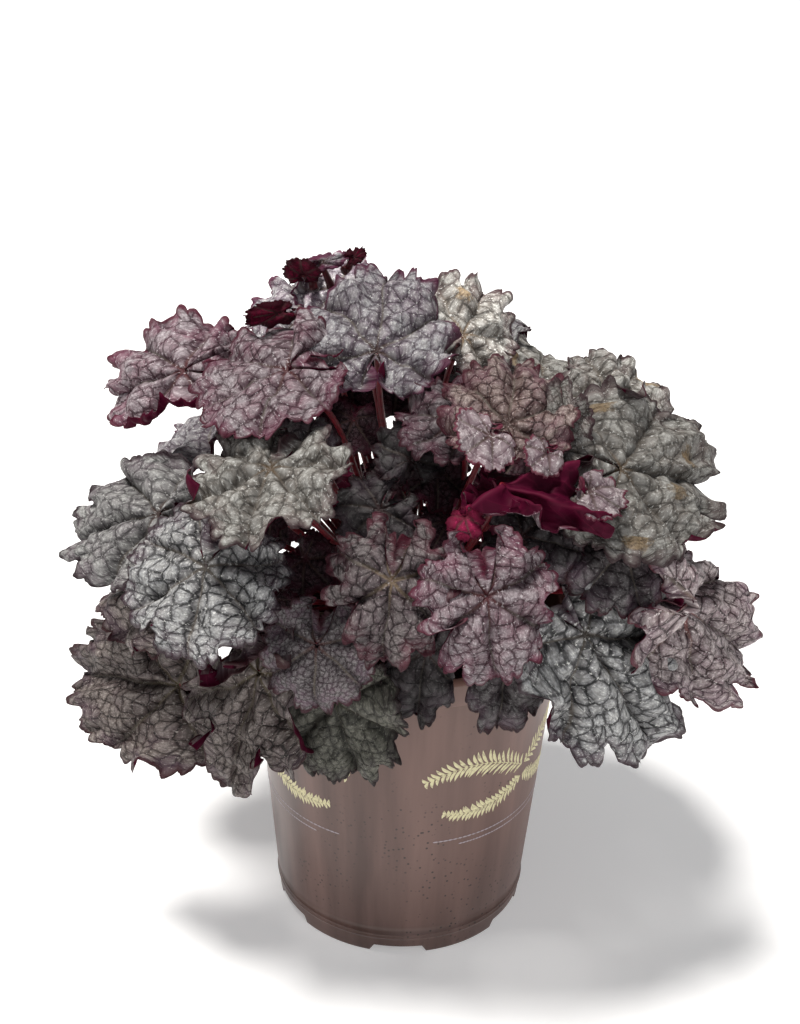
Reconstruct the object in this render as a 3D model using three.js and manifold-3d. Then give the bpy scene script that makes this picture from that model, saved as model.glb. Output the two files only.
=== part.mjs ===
// A potted coral bells plant (heuchera): a tapered nursery pot with a rolled lip, the potting mix in it, the
// woody crown at the mix's surface, and the lobed, toothed leaves on their stalks. Millimetres, +Z up; the
// origin is the middle of the pot's foot, on the surface that it stands on, and -Y is the plant's front.
import * as THREE from "three";
import { mergeVertices } from "three/addons/utils/BufferGeometryUtils.js";
import Module from "manifold-3d";

const wasm = await Module();
wasm.setup();

// Pot: a one-gallon nursery pot.
const POT_HEIGHT = 165;
const FOOT_RADIUS = 64;
const NECK_RADIUS = 77; // outside of the wall, just under the lip
const LIP_RADIUS = 82.5;
const LIP_DEPTH = 11;
const WALL = 1.6;
const FLOOR_LEVEL = 5;
const PAD_RADIUS = 12; // under the middle of the floor, level with the foot
const BEAD_LEVEL = 9.5; // the fine raised line round the foot
const BEAD = 0.6;
const POT_SIDES = 32;
const DRAINS = 6;
const DRAIN_WIDTH = 25;
const DRAIN_HEIGHT = 8;
const FIT = 0.3; // the gap between pieces that rest on each other

// Potting mix and crown.
const SOIL_LEVEL = 152;
const SOIL_SIDES = 16;
const CROWN_RADIUS = 26;
const CROWN_RISE = 22; // how far it stands out of the mix
const CROWN_ROOT_RADIUS = 17;
const CROWN_ROOT_DEPTH = 24;
const CROWN_SIDES = 12;
const SOCKET_DEPTH = 3.5;
const FOOT_RISE = 0.5; // the lowest stalks leave the crown at this angle, in radians
const FOOT_SPACING = 7;

// Leaves.
const BLADE = 0.8; // thickness
const STALK_RADIUS = 1.7;
const STALK_SIDES = 5;
const STALK_STEPS = 4;
const RINGS = [0.3, 0.62, 1]; // how far out the rings of points lie, as shares of the outline
const RING_POINTS = [10, 20, 40];
const LOBE_STEPS = 6; // directions from one of the seven lobes to the next
const LOBE_CUT = 0.24; // depth of the cuts between the lobes
const TOOTH_CUT = 0.07;
const SINUS = 0.14; // how near the cut at the stalk comes to it
const CLEAR = 2.2; // least rise of one blade's edge over the next one
const STALK_ROOM = 3; // what its middle rises more, so that the stalk passes between
const NEAR = 17; // leaves further apart than this don't press on each other
const STALK_CLEAR = STALK_RADIUS + BLADE / 2 + 0.6;

const MOUND_CENTRE = new THREE.Vector3(0, 0, 190); // blades face away from here
const CROWN_CENTRE = new THREE.Vector3(0, 0, SOIL_LEVEL - 2);

// Each leaf, the undermost first: where its stalk meets the blade, where its tip would be if it were flat, and
// which way its upper face looks (away from the middle of the mound, unless it is given). Then, where it isn't
// plain, as shares of its length: wide (its width), back (the lobes by the stalk), droop (how far the edge
// hangs), fold (how far the two sides rise from the midrib), curl (how far the tip hangs) and ruffle (height of
// the waves at the edge).
const LEAVES = [
  // The skirt, hanging over the lip, from the front round to the left.
  { hub: [8, -104, 196], tip: [2, -112, 160], face: [-1, -10, 2], wide: 0.8 },
  { hub: [42, -106, 197], tip: [40, -116, 158], face: [1, -10, 2], wide: 0.75 },
  { hub: [-30, -100, 168], tip: [-21, -106, 119], face: [-2, -9, 3], wide: 0.8, back: 0.6, droop: 0.1 },
  { hub: [-104, -64, 152], tip: [-168, -36, 140], face: [-5, -9, 3], wide: 0.65, fold: 0.25, droop: 0.05 },
  { hub: [-63, -102, 182], tip: [-82, -102, 110], face: [-4, -9, 1], wide: 0.65, back: 0.45, fold: 0.12 },
  { hub: [-37, -115, 204], tip: [-40, -129, 174], face: [-3, -9, 4] },
  { hub: [74, -106, 207], tip: [118, -108, 146], face: [4, -9, 3], wide: 0.7, back: 0.3 },
  { hub: [90, -88, 240], tip: [66, -108, 218], face: [1, -8, 7], back: 0.3 },
  { hub: [115, -82, 207], tip: [172, -66, 180], face: [5, -8, 4], wide: 0.8, back: 0.5, curl: 0.4 },
  { hub: [118, 6, 180], tip: [168, 14, 148] },
  { hub: [98, 66, 178], tip: [140, 94, 140] },
  { hub: [42, 108, 180], tip: [58, 142, 136], wide: 0.85 },
  { hub: [-22, 114, 178], tip: [-32, 144, 136] },
  { hub: [-80, 84, 180], tip: [-112, 114, 140] },
  { hub: [-116, 24, 178], tip: [-162, 34, 148] },
  // The shaded ones, between the others.
  { hub: [-13, -84, 252], tip: [-30, -94, 238], face: [0, -8, 6] },
  { hub: [46, -94, 246], tip: [78, -96, 240], face: [1, -7, 7], back: 0.5 },
  { hub: [0, -68, 268], tip: [-3, -56, 288], face: [0, -8, 6], back: 0.5 },
  { hub: [92, -70, 254], tip: [122, -64, 240], face: [4, -8, 5] },
  { hub: [-51, -68, 268], tip: [-40, -52, 286], face: [-2, -6, 8] },
  // The middle of the mound, front and then back.
  { hub: [-114, -60, 202], tip: [-150, -38, 190], face: [-6, -6, 5] },
  { hub: [-108, -72, 242], tip: [-164, -54, 222], face: [-5, -6, 7], wide: 0.7, back: 0.35 },
  { hub: [-84, -100, 231], tip: [-93, -134, 199], face: [-2, -7, 7] },
  { hub: [-7, -122, 238], tip: [-12, -137, 198], face: [-1, -9, 4], wide: 0.85 },
  { hub: [31, -126, 234], tip: [37, -138, 192], face: [1, -9, 3], wide: 0.9 },
  { hub: [-57, -97, 275], tip: [-71, -137, 256], face: [-2, -4, 9], droop: 0.1 },
  { hub: [108, 8, 238], tip: [158, 14, 216] },
  { hub: [78, 60, 246], tip: [120, 94, 214] },
  { hub: [16, 86, 250], tip: [20, 138, 216] },
  { hub: [-52, 76, 248], tip: [-84, 122, 214] },
  { hub: [-96, 30, 246], tip: [-148, 48, 214] },
  // The shoulders.
  { hub: [87, -54, 288], tip: [104, -24, 305], face: [4, -6, 7] },
  { hub: [86, -84, 273], tip: [144, -64, 261], face: [4, -7, 7], wide: 0.8 },
  { hub: [34, -100, 262], tip: [90, -104, 248], face: [0, 5, -9], wide: 0.45, back: 0.5, fold: 0.2, curl: 0 },
  { hub: [18, -78, 289], tip: [-10, -66, 296], face: [-1, -6, 8], back: 0.35 },
  { hub: [38, -86, 292], tip: [44, -63, 320], face: [0, -8, 6] },
  { hub: [60, 14, 284], tip: [108, 38, 262] },
  { hub: [14, 48, 296], tip: [22, 102, 280] },
  { hub: [-50, 34, 298], tip: [-92, 66, 280] },
  // The top.
  { hub: [-6, 10, 308], tip: [-2, 58, 310] },
  { hub: [21, -30, 312], tip: [36, -4, 334], face: [3, -7, 6], back: 0.4 },
  { hub: [-50, -10, 312], tip: [-84, 4, 312], face: [-3, -5, 8], back: 0.35 },
  { hub: [-35, -4, 324], tip: [-50, 16, 332], face: [-2, -5, 8] },
  { hub: [-16, -50, 310], tip: [-12, -20, 348], face: [0, -8, 6], wide: 0.86, back: 0.45 },
  { hub: [-102, -26, 291], tip: [-150, -14, 273], face: [-4, -7, 6], wide: 0.6 },
  { hub: [-53, -58, 303], tip: [-99, -70, 290], face: [-2, -4, 9], wide: 0.88, back: 0.5, droop: 0.12 },
];
const PLAIN_LEAF = { wide: 1, back: 0.7, droop: 0.16, fold: 0, curl: 0.2, ruffle: 0.07 };

// Mulberry32: a small repeatable random generator.
function randomFrom(seed) {
  let state = seed * 0x9e3779b9;
  return () => {
    state = (state + 0x6d2b79f5) | 0;
    let bits = Math.imul(state ^ (state >>> 15), 1 | state);
    bits = (bits + Math.imul(bits ^ (bits >>> 7), 61 | bits)) ^ bits;
    return ((bits ^ (bits >>> 14)) >>> 0) / 4294967296;
  };
}

// The solid of a closed geometry, for cutting and joining.
function solidOf(geometry) {
  const bare = new THREE.BufferGeometry();
  bare.setAttribute("position", geometry.toNonIndexed().getAttribute("position"));
  const merged = mergeVertices(bare, 1e-4);
  return new wasm.Manifold(
    new wasm.Mesh({
      numProp: 3,
      vertProperties: new Float32Array(merged.attributes.position.array),
      triVerts: new Uint32Array(merged.index.array),
    }),
  );
}

function geometryOf(solid) {
  const mesh = solid.getMesh();
  const geometry = new THREE.BufferGeometry();
  geometry.setAttribute("position", new THREE.BufferAttribute(mesh.vertProperties, mesh.numProp));
  geometry.setIndex(new THREE.BufferAttribute(mesh.triVerts, 1));
  geometry.computeVertexNormals();
  return geometry;
}

// A profile of [radius, height] points, listed from the axis at the bottom, turned round Z.
function turned(profile, sides) {
  const points = profile.map(([radius, height]) => new THREE.Vector2(radius, height));
  return new THREE.LatheGeometry(points, sides).rotateX(Math.PI / 2);
}

// ---- Pot, mix and crown ----

const wallRadius = (height) => FOOT_RADIUS + ((NECK_RADIUS - FOOT_RADIUS) * height) / (POT_HEIGHT - LIP_DEPTH);

function potGeometry() {
  const lipFoot = POT_HEIGHT - LIP_DEPTH;
  const shell = turned(
    [
      [0, 0],
      [PAD_RADIUS, 0],
      [PAD_RADIUS + 1, FLOOR_LEVEL],
      [FOOT_RADIUS - 3.4, FLOOR_LEVEL],
      [FOOT_RADIUS - 2.2, 0],
      [FOOT_RADIUS, 0],
      [wallRadius(BEAD_LEVEL - 1), BEAD_LEVEL - 1],
      [wallRadius(BEAD_LEVEL) + BEAD, BEAD_LEVEL],
      [wallRadius(BEAD_LEVEL + 1), BEAD_LEVEL + 1],
      [wallRadius(POT_HEIGHT - WALL), POT_HEIGHT - WALL],
      [LIP_RADIUS - 1.5, POT_HEIGHT - WALL],
      [LIP_RADIUS - 1.5, lipFoot],
      [LIP_RADIUS, lipFoot],
      [LIP_RADIUS, POT_HEIGHT],
      [wallRadius(POT_HEIGHT) - WALL, POT_HEIGHT],
      [wallRadius(FLOOR_LEVEL + WALL) - WALL, FLOOR_LEVEL + WALL],
      [0, FLOOR_LEVEL + WALL],
    ],
    POT_SIDES,
  );
  let pot = solidOf(shell);
  for (let i = 0; i < DRAINS; i++) {
    const notch = new THREE.BoxGeometry(12, DRAIN_WIDTH, DRAIN_HEIGHT);
    notch.translate(FOOT_RADIUS, 0, 0);
    notch.rotateZ(((i + 0.5) / DRAINS) * 2 * Math.PI + Math.PI / 3);
    pot = pot.subtract(solidOf(notch));
  }
  return geometryOf(pot);
}

function crownGeometry(leaves) {
  const dome = 4;
  const profile = [
    [0, SOIL_LEVEL - CROWN_ROOT_DEPTH],
    [CROWN_ROOT_RADIUS * 0.7, SOIL_LEVEL - CROWN_ROOT_DEPTH],
    [CROWN_ROOT_RADIUS, SOIL_LEVEL + FIT],
  ];
  for (let i = 0; i < dome; i++) {
    const angle = (i / dome) * (Math.PI / 2);
    profile.push([CROWN_RADIUS * Math.cos(angle), SOIL_LEVEL + FIT + 2 + (CROWN_RISE - 2) * Math.sin(angle)]);
  }
  profile.push([0, SOIL_LEVEL + FIT + CROWN_RISE]);
  let crown = solidOf(turned(profile, CROWN_SIDES));
  for (const leaf of leaves) crown = crown.subtract(solidOf(socketGeometry(leaf)));
  return geometryOf(crown);
}

function soilGeometry() {
  const top = SOIL_LEVEL;
  const foot = FLOOR_LEVEL + WALL + FIT;
  const radiusAt = (height) => (wallRadius(height) - WALL) * Math.cos(Math.PI / POT_SIDES) - FIT;
  return turned(
    [
      [0, foot],
      [radiusAt(foot), foot],
      [radiusAt(top - 4), top - 4],
      [radiusAt(top) * 0.8, top - 1.5],
      [radiusAt(top) * 0.5, top],
      [CROWN_ROOT_RADIUS + FIT, top],
      [CROWN_ROOT_RADIUS * 0.7 + FIT, top - CROWN_ROOT_DEPTH - FIT],
      [0, top - CROWN_ROOT_DEPTH - FIT],
    ],
    SOIL_SIDES,
  );
}

// ---- One leaf ----

// Outline radius in one of the 40 directions, counted from the cut at the stalk, as a share of the length.
function outlineShare(step, back, random) {
  const half = RING_POINTS[2] / 2;
  const fromTip = Math.abs(step - half);
  if (fromTip === half) return SINUS;
  const envelope = 1 - (1 - back) * (fromTip / half) ** 1.5;
  const lobe = 1 - LOBE_CUT * (1 - Math.abs(Math.cos((Math.PI * fromTip) / LOBE_STEPS))) ** 1.2;
  const tooth = fromTip % 2 ? 1 - TOOTH_CUT : 1;
  const besideSinus = fromTip === half - 1 ? 0.72 : 1;
  return envelope * lobe * tooth * besideSinus * (0.96 + 0.08 * random());
}

// The middle surface of a blade: the hub, then rings of points, in the part's frame.
function bladePoints(leaf, random) {
  const { length, wide, back, droop, fold, curl, ruffle } = leaf;
  const outline = Array.from({ length: RING_POINTS[2] }, (_, step) => length * outlineShare(step, back, random));
  const waves = 4 + Math.floor(random() * 3);
  const phase = random() * 2 * Math.PI;
  const lean = (random() - 0.5) * 0.16;
  const height = (x, y) => {
    const out = Math.hypot(x, y) / length;
    const angle = Math.atan2(y, x);
    const hang = droop * out ** 2 + curl * Math.max(0, x / length - 0.45) ** 1.6;
    const wave = ruffle * out ** 2 * Math.sin(waves * angle + phase) + lean * (y / length) * out;
    return length * (fold * Math.abs(y / length) - hang + wave);
  };
  const points = [new THREE.Vector3(0, 0, 0)];
  RINGS.forEach((share, ring) => {
    const count = RING_POINTS[ring];
    for (let i = 0; i < count; i++) {
      const out = STALK_RADIUS + (outline[(i * RING_POINTS[2]) / count] - STALK_RADIUS) * share;
      const angle = Math.PI + (i / count) * 2 * Math.PI;
      const x = out * Math.cos(angle);
      const y = wide * out * Math.sin(angle);
      points.push(new THREE.Vector3(x, y, height(x, y) + (random() - 0.5) * 0.03 * length * share));
    }
  });
  return points.map((point) => point.applyMatrix4(leaf.frame));
}

// Triangles between a ring of n points and the ring of 2n round it; `inner` and `outer` are the first
// point of each.
function ringFaces(inner, outer, count) {
  const faces = [];
  for (let i = 0; i < count; i++) {
    const next = (i + 1) % count;
    const [near, mid, far] = [outer + 2 * i, outer + 2 * i + 1, outer + 2 * next];
    faces.push([inner + i, near, mid], [inner + i, mid, inner + next], [inner + next, mid, far]);
  }
  return faces;
}

const FIRST = [1, 1 + RING_POINTS[0], 1 + RING_POINTS[0] + RING_POINTS[1]]; // each ring's first point
const BLADE_POINTS = FIRST[2] + RING_POINTS[2];
const FAN = Array.from({ length: RING_POINTS[0] }, (_, i) => [0, 1 + i, 1 + ((i + 1) % RING_POINTS[0])]);
const SPREAD = [...ringFaces(FIRST[0], FIRST[1], RING_POINTS[0]), ...ringFaces(FIRST[1], FIRST[2], RING_POINTS[1])];
const BLADE_FACES = [...FAN, ...SPREAD];

// Each blade point's neighbours along the mesh.
const NEIGHBOURS = Array.from({ length: BLADE_POINTS }, () => new Set());
for (const face of BLADE_FACES) {
  face.forEach((a) => face.forEach((b) => a !== b && NEIGHBOURS[a].add(b)));
}

// The direction in which each stalk leaves the crown, towards its own blade but with room round its foot.
function spreadFeet(leaves) {
  for (const leaf of leaves) {
    const reach = leaf.hub.clone().sub(CROWN_CENTRE);
    const flat = Math.hypot(reach.x, reach.y);
    const rise = FOOT_RISE + (1 - (2 * FOOT_RISE) / Math.PI) * Math.max(0, Math.atan2(reach.z, flat));
    leaf.away = new THREE.Vector3(
      (Math.cos(rise) * reach.x) / flat,
      (Math.cos(rise) * reach.y) / flat,
      Math.sin(rise),
    );
  }
  for (let pass = 0; pass < 80; pass++) {
    for (const leaf of leaves) {
      for (const other of leaves) {
        const apart = leaf.away.distanceTo(other.away) * CROWN_RADIUS;
        if (other === leaf || apart > FOOT_SPACING) continue;
        const push = leaf.away.clone().sub(other.away).setLength((0.3 * (FOOT_SPACING - apart)) / CROWN_RADIUS);
        leaf.away.add(push);
        leaf.away.z = Math.max(leaf.away.z, Math.sin(FOOT_RISE));
        leaf.away.normalize();
      }
    }
  }
}

// A stalk's path from the crown to the blade. It comes to the blade from beneath, or with `slant` at 1 along
// the under face from the side of the cut, and `bow` pushes it sideways and up.
function stalkCurve(leaf, slant, bow) {
  const foot = CROWN_CENTRE.clone().addScaledVector(leaf.away, CROWN_RADIUS - 1);
  const span = leaf.hub.distanceTo(foot);
  const under = leaf.normal.clone().multiplyScalar(1 - slant).addScaledVector(leaf.along, slant).normalize();
  const side = new THREE.Vector3().crossVectors(leaf.away, new THREE.Vector3(0, 0, 1)).normalize();
  const lift = new THREE.Vector3().crossVectors(side, leaf.away);
  const bend = side.multiplyScalar(bow[0]).addScaledVector(lift, bow[1]);
  return new THREE.CubicBezierCurve3(
    foot,
    foot.clone().addScaledVector(leaf.away, 0.45 * span).add(bend),
    leaf.hub.clone().addScaledVector(under, -0.25 * span).add(bend),
    leaf.hub.clone().addScaledVector(leaf.normal, -BLADE / 2),
  );
}

function triangle(points, [a, b, c]) {
  return new THREE.Triangle(points[a], points[b], points[c]);
}

// ---- Laying the leaves over each other ----

// Signed distance from `point` along `direction` to a triangle, or null where the line misses it.
const edge1 = new THREE.Vector3();
const edge2 = new THREE.Vector3();
const across = new THREE.Vector3();
const offset = new THREE.Vector3();
const turn = new THREE.Vector3();
function lineMeets(point, direction, { a, b, c }) {
  edge1.subVectors(b, a);
  edge2.subVectors(c, a);
  across.crossVectors(direction, edge2);
  const det = edge1.dot(across);
  if (Math.abs(det) < 1e-6) return null;
  offset.subVectors(point, a);
  const u = offset.dot(across) / det;
  if (u < -0.02 || u > 1.02) return null;
  turn.crossVectors(offset, edge1);
  const v = direction.dot(turn) / det;
  if (v < -0.02 || u + v > 1.02) return null;
  return edge2.dot(turn) / det;
}

// Least rise of a blade's point over what is under it.
const CLEARANCES = NEIGHBOURS.map((_, i) => {
  const ring = FIRST.findLastIndex((first) => i >= first);
  return CLEAR + STALK_ROOM * (1 - (ring < 0 ? 0 : RINGS[ring]));
});

// How far each point of a blade must rise, out of the mound, to lie over the leaves already placed.
function neededRise(leaf, placed) {
  const rise = new Float64Array(BLADE_POINTS);
  const own = BLADE_FACES.map((face) => triangle(leaf.points, face));
  const raise = (i, by) => {
    rise[i] = Math.max(rise[i], by);
  };
  for (const other of placed) {
    if (other.hub.distanceTo(leaf.hub) > 1.3 * (other.length + leaf.length)) continue;
    for (const theirs of other.triangles) {
      leaf.points.forEach((point, i) => {
        const gap = lineMeets(point, leaf.lift, theirs);
        if (gap !== null && gap > -CLEARANCES[i] && gap < NEAR) raise(i, gap + CLEARANCES[i]);
      });
    }
    const obstacles = [...other.points.map((p) => [p, CLEAR]), ...other.stalk.map((p) => [p, STALK_CLEAR])];
    for (const [point, clear] of obstacles) {
      own.forEach((face, i) => {
        const gap = lineMeets(point, leaf.lift, face);
        if (gap === null || gap > clear || gap < -NEAR) return;
        BLADE_FACES[i].forEach((corner) => raise(corner, clear - gap));
      });
    }
  }
  return rise;
}

// Lifts a blade clear of those under it, bending it smoothly.
function layOver(leaf, placed) {
  for (let pass = 0; pass < 4; pass++) {
    const rise = neededRise(leaf, placed);
    if (Math.max(...rise) < 0.01) break;
    for (let smooth = 0; smooth < 3; smooth++) {
      const before = rise.slice();
      NEIGHBOURS.forEach((near, i) => {
        let sum = 0;
        near.forEach((j) => (sum += before[j]));
        rise[i] = Math.max(rise[i], (0.85 * sum) / near.size);
      });
    }
    leaf.points.forEach((point, i) => point.addScaledVector(leaf.lift, rise[i]));
    leaf.hub.copy(leaf.points[0]);
  }
}

// The ways that a stalk may take, the straightest first: [slant, [sideways, up]].
const WAYS = [];
for (const size of [0, 6, 12, 18, 25, 33]) {
  for (const slant of [0.4, 0.75, 0.1, 1]) {
    for (let i = 0; i < (size ? 8 : 1); i++) {
      WAYS.push([slant, [size * Math.cos((i * Math.PI) / 4), size * Math.sin((i * Math.PI) / 4)]]);
    }
  }
}

// Takes the first way for the stalk that passes everything already placed, or else the roomiest.
function clearStalk(leaf, placed) {
  const nearest = new THREE.Vector3();
  const own = leaf.triangles.filter((face) => face.getMidpoint(nearest).distanceTo(leaf.hub) > 9);
  const blades = [...placed.flatMap((other) => other.triangles), ...own];
  leaf.room = -Infinity;
  for (const [slant, bow] of WAYS) {
    const curve = stalkCurve(leaf, slant, bow);
    const path = curve.getSpacedPoints(36);
    let room = Infinity;
    for (const point of path.slice(1, -3)) {
      room = Math.min(room, (point.z - SOIL_LEVEL - 3) * 2);
      for (const face of blades) {
        if (point.distanceToSquared(face.a) > 1200) continue;
        face.closestPointToPoint(point, nearest);
        room = Math.min(room, nearest.distanceTo(point) - STALK_CLEAR);
      }
      for (const other of placed) {
        for (const theirs of other.stalk) room = Math.min(room, theirs.distanceTo(point) - 2 * STALK_RADIUS - 0.5);
      }
      if (room <= leaf.room) break;
    }
    if (room > leaf.room) Object.assign(leaf, { curve, stalk: path, room });
    if (room > 0) break;
  }
}

// The frame of a leaf: x along the blade to its tip, z out of its upper face.
function leafFrame(leaf) {
  const along = leaf.tip.clone().sub(leaf.hub);
  leaf.length = along.length();
  along.normalize();
  const outward = leaf.hub.clone().sub(MOUND_CENTRE);
  const facing = leaf.face ? new THREE.Vector3(...leaf.face) : outward.clone();
  const normal = facing.addScaledVector(along, -facing.dot(along)).normalize();
  const left = new THREE.Vector3().crossVectors(normal, along);
  leaf.along = along;
  leaf.normal = normal;
  leaf.lift = normal.clone().multiplyScalar(Math.sign(normal.dot(outward)));
  leaf.frame = new THREE.Matrix4().makeBasis(along, left, normal).setPosition(leaf.hub);
}

// The outside of the pot and the top of its lip, for the leaves to hang over.
function potObstacle() {
  const outside = [
    [FOOT_RADIUS + 3, 60],
    [LIP_RADIUS, POT_HEIGHT - LIP_DEPTH],
    [LIP_RADIUS, POT_HEIGHT],
    [NECK_RADIUS - 2, POT_HEIGHT],
  ];
  const skin = turned(outside, POT_SIDES).toNonIndexed().getAttribute("position");
  const points = Array.from({ length: skin.count }, (_, i) => new THREE.Vector3().fromBufferAttribute(skin, i));
  const triangles = [];
  for (let i = 0; i < skin.count; i += 3) triangles.push(triangle(points, [i, i + 1, i + 2]));
  return { hub: new THREE.Vector3(0, 0, POT_HEIGHT), length: POT_HEIGHT, points, triangles, stalk: [] };
}

function placeLeaves() {
  const leaves = LEAVES.map((row, index) => {
    const leaf = { ...PLAIN_LEAF, ...row, index };
    leaf.hub = new THREE.Vector3(...row.hub);
    leaf.tip = new THREE.Vector3(...row.tip);
    leafFrame(leaf);
    leaf.points = bladePoints(leaf, randomFrom(index + 1));
    return leaf;
  });
  spreadFeet(leaves);
  const placed = [potObstacle()];
  for (const leaf of leaves) {
    layOver(leaf, placed);
    leaf.triangles = BLADE_FACES.map((face) => triangle(leaf.points, face));
    clearStalk(leaf, placed);
    placed.push(leaf);
  }
  return leaves;
}

// ---- The leaf's solid ----

// Rings of points round a path, the first one set out in the plane of `firstX` and `firstY`.
function tubeRings(path, tangents, firstX, radius) {
  const xAxis = firstX.clone();
  return path.map((centre, i) => {
    xAxis.addScaledVector(tangents[i], -xAxis.dot(tangents[i])).normalize();
    const yAxis = new THREE.Vector3().crossVectors(tangents[i], xAxis);
    return Array.from({ length: STALK_SIDES }, (_, k) => {
      const angle = Math.PI + (k / STALK_SIDES) * 2 * Math.PI;
      return centre
        .clone()
        .addScaledVector(xAxis, radius * Math.cos(angle))
        .addScaledVector(yAxis, radius * Math.sin(angle));
    });
  });
}

// The stalk's rings, from the blade down to the crown.
function stalkRings(leaf) {
  const steps = Array.from({ length: STALK_STEPS + 1 }, (_, i) => 1 - i / STALK_STEPS);
  const path = steps.map((t) => leaf.curve.getPointAt(t));
  const tangents = steps.map((t) => leaf.curve.getTangentAt(t));
  tangents[0] = leaf.normal;
  return tubeRings(path, tangents, leaf.along, STALK_RADIUS);
}

function leafGeometry(leaf) {
  const normals = leaf.points.map(() => new THREE.Vector3());
  const faceNormal = new THREE.Vector3();
  leaf.triangles.forEach((face, i) => {
    face.getNormal(faceNormal).multiplyScalar(face.getArea());
    BLADE_FACES[i].forEach((corner) => normals[corner].add(faceNormal));
  });
  const shifted = (by) => leaf.points.map((point, i) => point.clone().addScaledVector(normals[i].normalize(), by));
  const rings = stalkRings(leaf);
  const points = [...shifted(BLADE / 2), ...shifted(-BLADE / 2).slice(1), ...rings.flat()];
  const under = BLADE_POINTS - 1; // from a point of the upper face to the one below it
  const tube = under + BLADE_POINTS;
  const faces = [...BLADE_FACES];
  for (const [a, b, c] of SPREAD) faces.push([a + under, c + under, b + under]);
  for (const [a, b, c] of ringFaces(tube, FIRST[0] + under, STALK_SIDES)) faces.push([a, c, b]);
  const rim = RING_POINTS[2];
  for (let i = 0; i < rim; i++) {
    const [a, b] = [FIRST[2] + i, FIRST[2] + ((i + 1) % rim)];
    faces.push([a, a + under, b + under], [a, b + under, b]);
  }
  for (let step = 0; step < STALK_STEPS; step++) {
    for (let k = 0; k < STALK_SIDES; k++) {
      const [a, b] = [tube + step * STALK_SIDES + k, tube + step * STALK_SIDES + ((k + 1) % STALK_SIDES)];
      faces.push([a, a + STALK_SIDES, b + STALK_SIDES], [a, b + STALK_SIDES, b]);
    }
  }
  const end = tube + STALK_STEPS * STALK_SIDES;
  for (let k = 1; k < STALK_SIDES - 1; k++) faces.push([end, end + k + 1, end + k]);
  const geometry = new THREE.BufferGeometry().setFromPoints(points);
  geometry.setIndex(faces.flat());
  geometry.computeVertexNormals();
  return geometry;
}

// The hole in the crown that a stalk stands in: a stub of the stalk, wider and deeper by the fit.
function socketGeometry(leaf) {
  const start = leaf.curve.getPointAt(0);
  const away = leaf.curve.getTangentAt(0);
  const spoke = stalkRings(leaf).at(-1)[0].sub(start).normalize();
  const radius = STALK_RADIUS + 1.3 * FIT;
  const stub = new THREE.CylinderGeometry(radius, radius, SOCKET_DEPTH + 2 * FIT, STALK_SIDES);
  const middle = start.clone().addScaledVector(away, SOCKET_DEPTH / 2);
  const basis = new THREE.Matrix4().makeBasis(new THREE.Vector3().crossVectors(away, spoke), away, spoke);
  return stub.applyMatrix4(basis.setPosition(middle));
}

// ---- The whole plant ----

const finishes = {
  pot: new THREE.MeshStandardMaterial({ color: 0x6a4a42, roughness: 0.45, metalness: 0 }),
  soil: new THREE.MeshStandardMaterial({ color: 0x33261d, roughness: 0.95, metalness: 0 }),
  crown: new THREE.MeshStandardMaterial({ color: 0x5a2c22, roughness: 0.85, metalness: 0 }),
  leaf: new THREE.MeshStandardMaterial({ color: 0x75696e, roughness: 0.6, metalness: 0 }),
};

function named(name, geometry, finish) {
  const mesh = new THREE.Mesh(geometry, finish);
  mesh.name = name;
  return mesh;
}

const leaves = placeLeaves();
const plant = new THREE.Group();
plant.add(named("pot", potGeometry(), finishes.pot));
plant.add(named("soil", soilGeometry(), finishes.soil));
plant.add(named("crown", crownGeometry(leaves), finishes.crown));
for (const leaf of leaves) {
  const name = "leaf_" + String(leaf.index + 1).padStart(2, "0");
  plant.add(named(name, leafGeometry(leaf), finishes.leaf));
}

export default plant;
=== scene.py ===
import math

import bpy
import numpy as np
from mathutils import Matrix, Vector


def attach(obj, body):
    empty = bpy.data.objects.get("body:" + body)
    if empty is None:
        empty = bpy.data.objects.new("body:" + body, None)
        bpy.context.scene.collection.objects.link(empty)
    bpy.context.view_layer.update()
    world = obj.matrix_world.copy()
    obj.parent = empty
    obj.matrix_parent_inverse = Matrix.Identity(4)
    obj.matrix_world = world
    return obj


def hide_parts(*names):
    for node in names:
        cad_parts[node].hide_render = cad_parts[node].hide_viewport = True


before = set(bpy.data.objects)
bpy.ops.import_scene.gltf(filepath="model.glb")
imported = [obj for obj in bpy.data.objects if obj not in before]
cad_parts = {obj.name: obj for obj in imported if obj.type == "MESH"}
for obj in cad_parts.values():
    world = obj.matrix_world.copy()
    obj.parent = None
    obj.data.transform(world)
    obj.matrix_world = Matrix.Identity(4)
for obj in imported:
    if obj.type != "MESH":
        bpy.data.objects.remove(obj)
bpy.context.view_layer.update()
mm = 0.001  # every size below is in millimetres, and Blender's are in metres


def linear(hexColour):
    # sRGB hex to the linear colour that the shaders take
    parts = [int(hexColour[i:i + 2], 16) / 255 for i in (1, 3, 5)]
    return [c / 12.92 if c <= 0.04045 else ((c + 0.055) / 1.055) ** 2.4 for c in parts] + [1.0]


def add(tree, kind, inputs=None, output=0, **settings):
    # adds a node with its settings; a socket given as an input is linked, any other value is set
    made = tree.nodes.new("ShaderNode" + kind)
    for name, value in settings.items():
        setattr(made, name, value)
    for key, value in (inputs or {}).items():
        if isinstance(value, bpy.types.NodeSocket):
            tree.links.new(value, made.inputs[key])
        else:
            made.inputs[key].default_value = value
    return made.outputs[output] if made.outputs else made


def newMaterial(name):
    material = bpy.data.materials.new(name)
    material.use_nodes = True
    material.node_tree.nodes.clear()
    return material, material.node_tree


def finishMaterial(tree, surface):
    add(tree, "OutputMaterial", {"Surface": surface})


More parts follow.
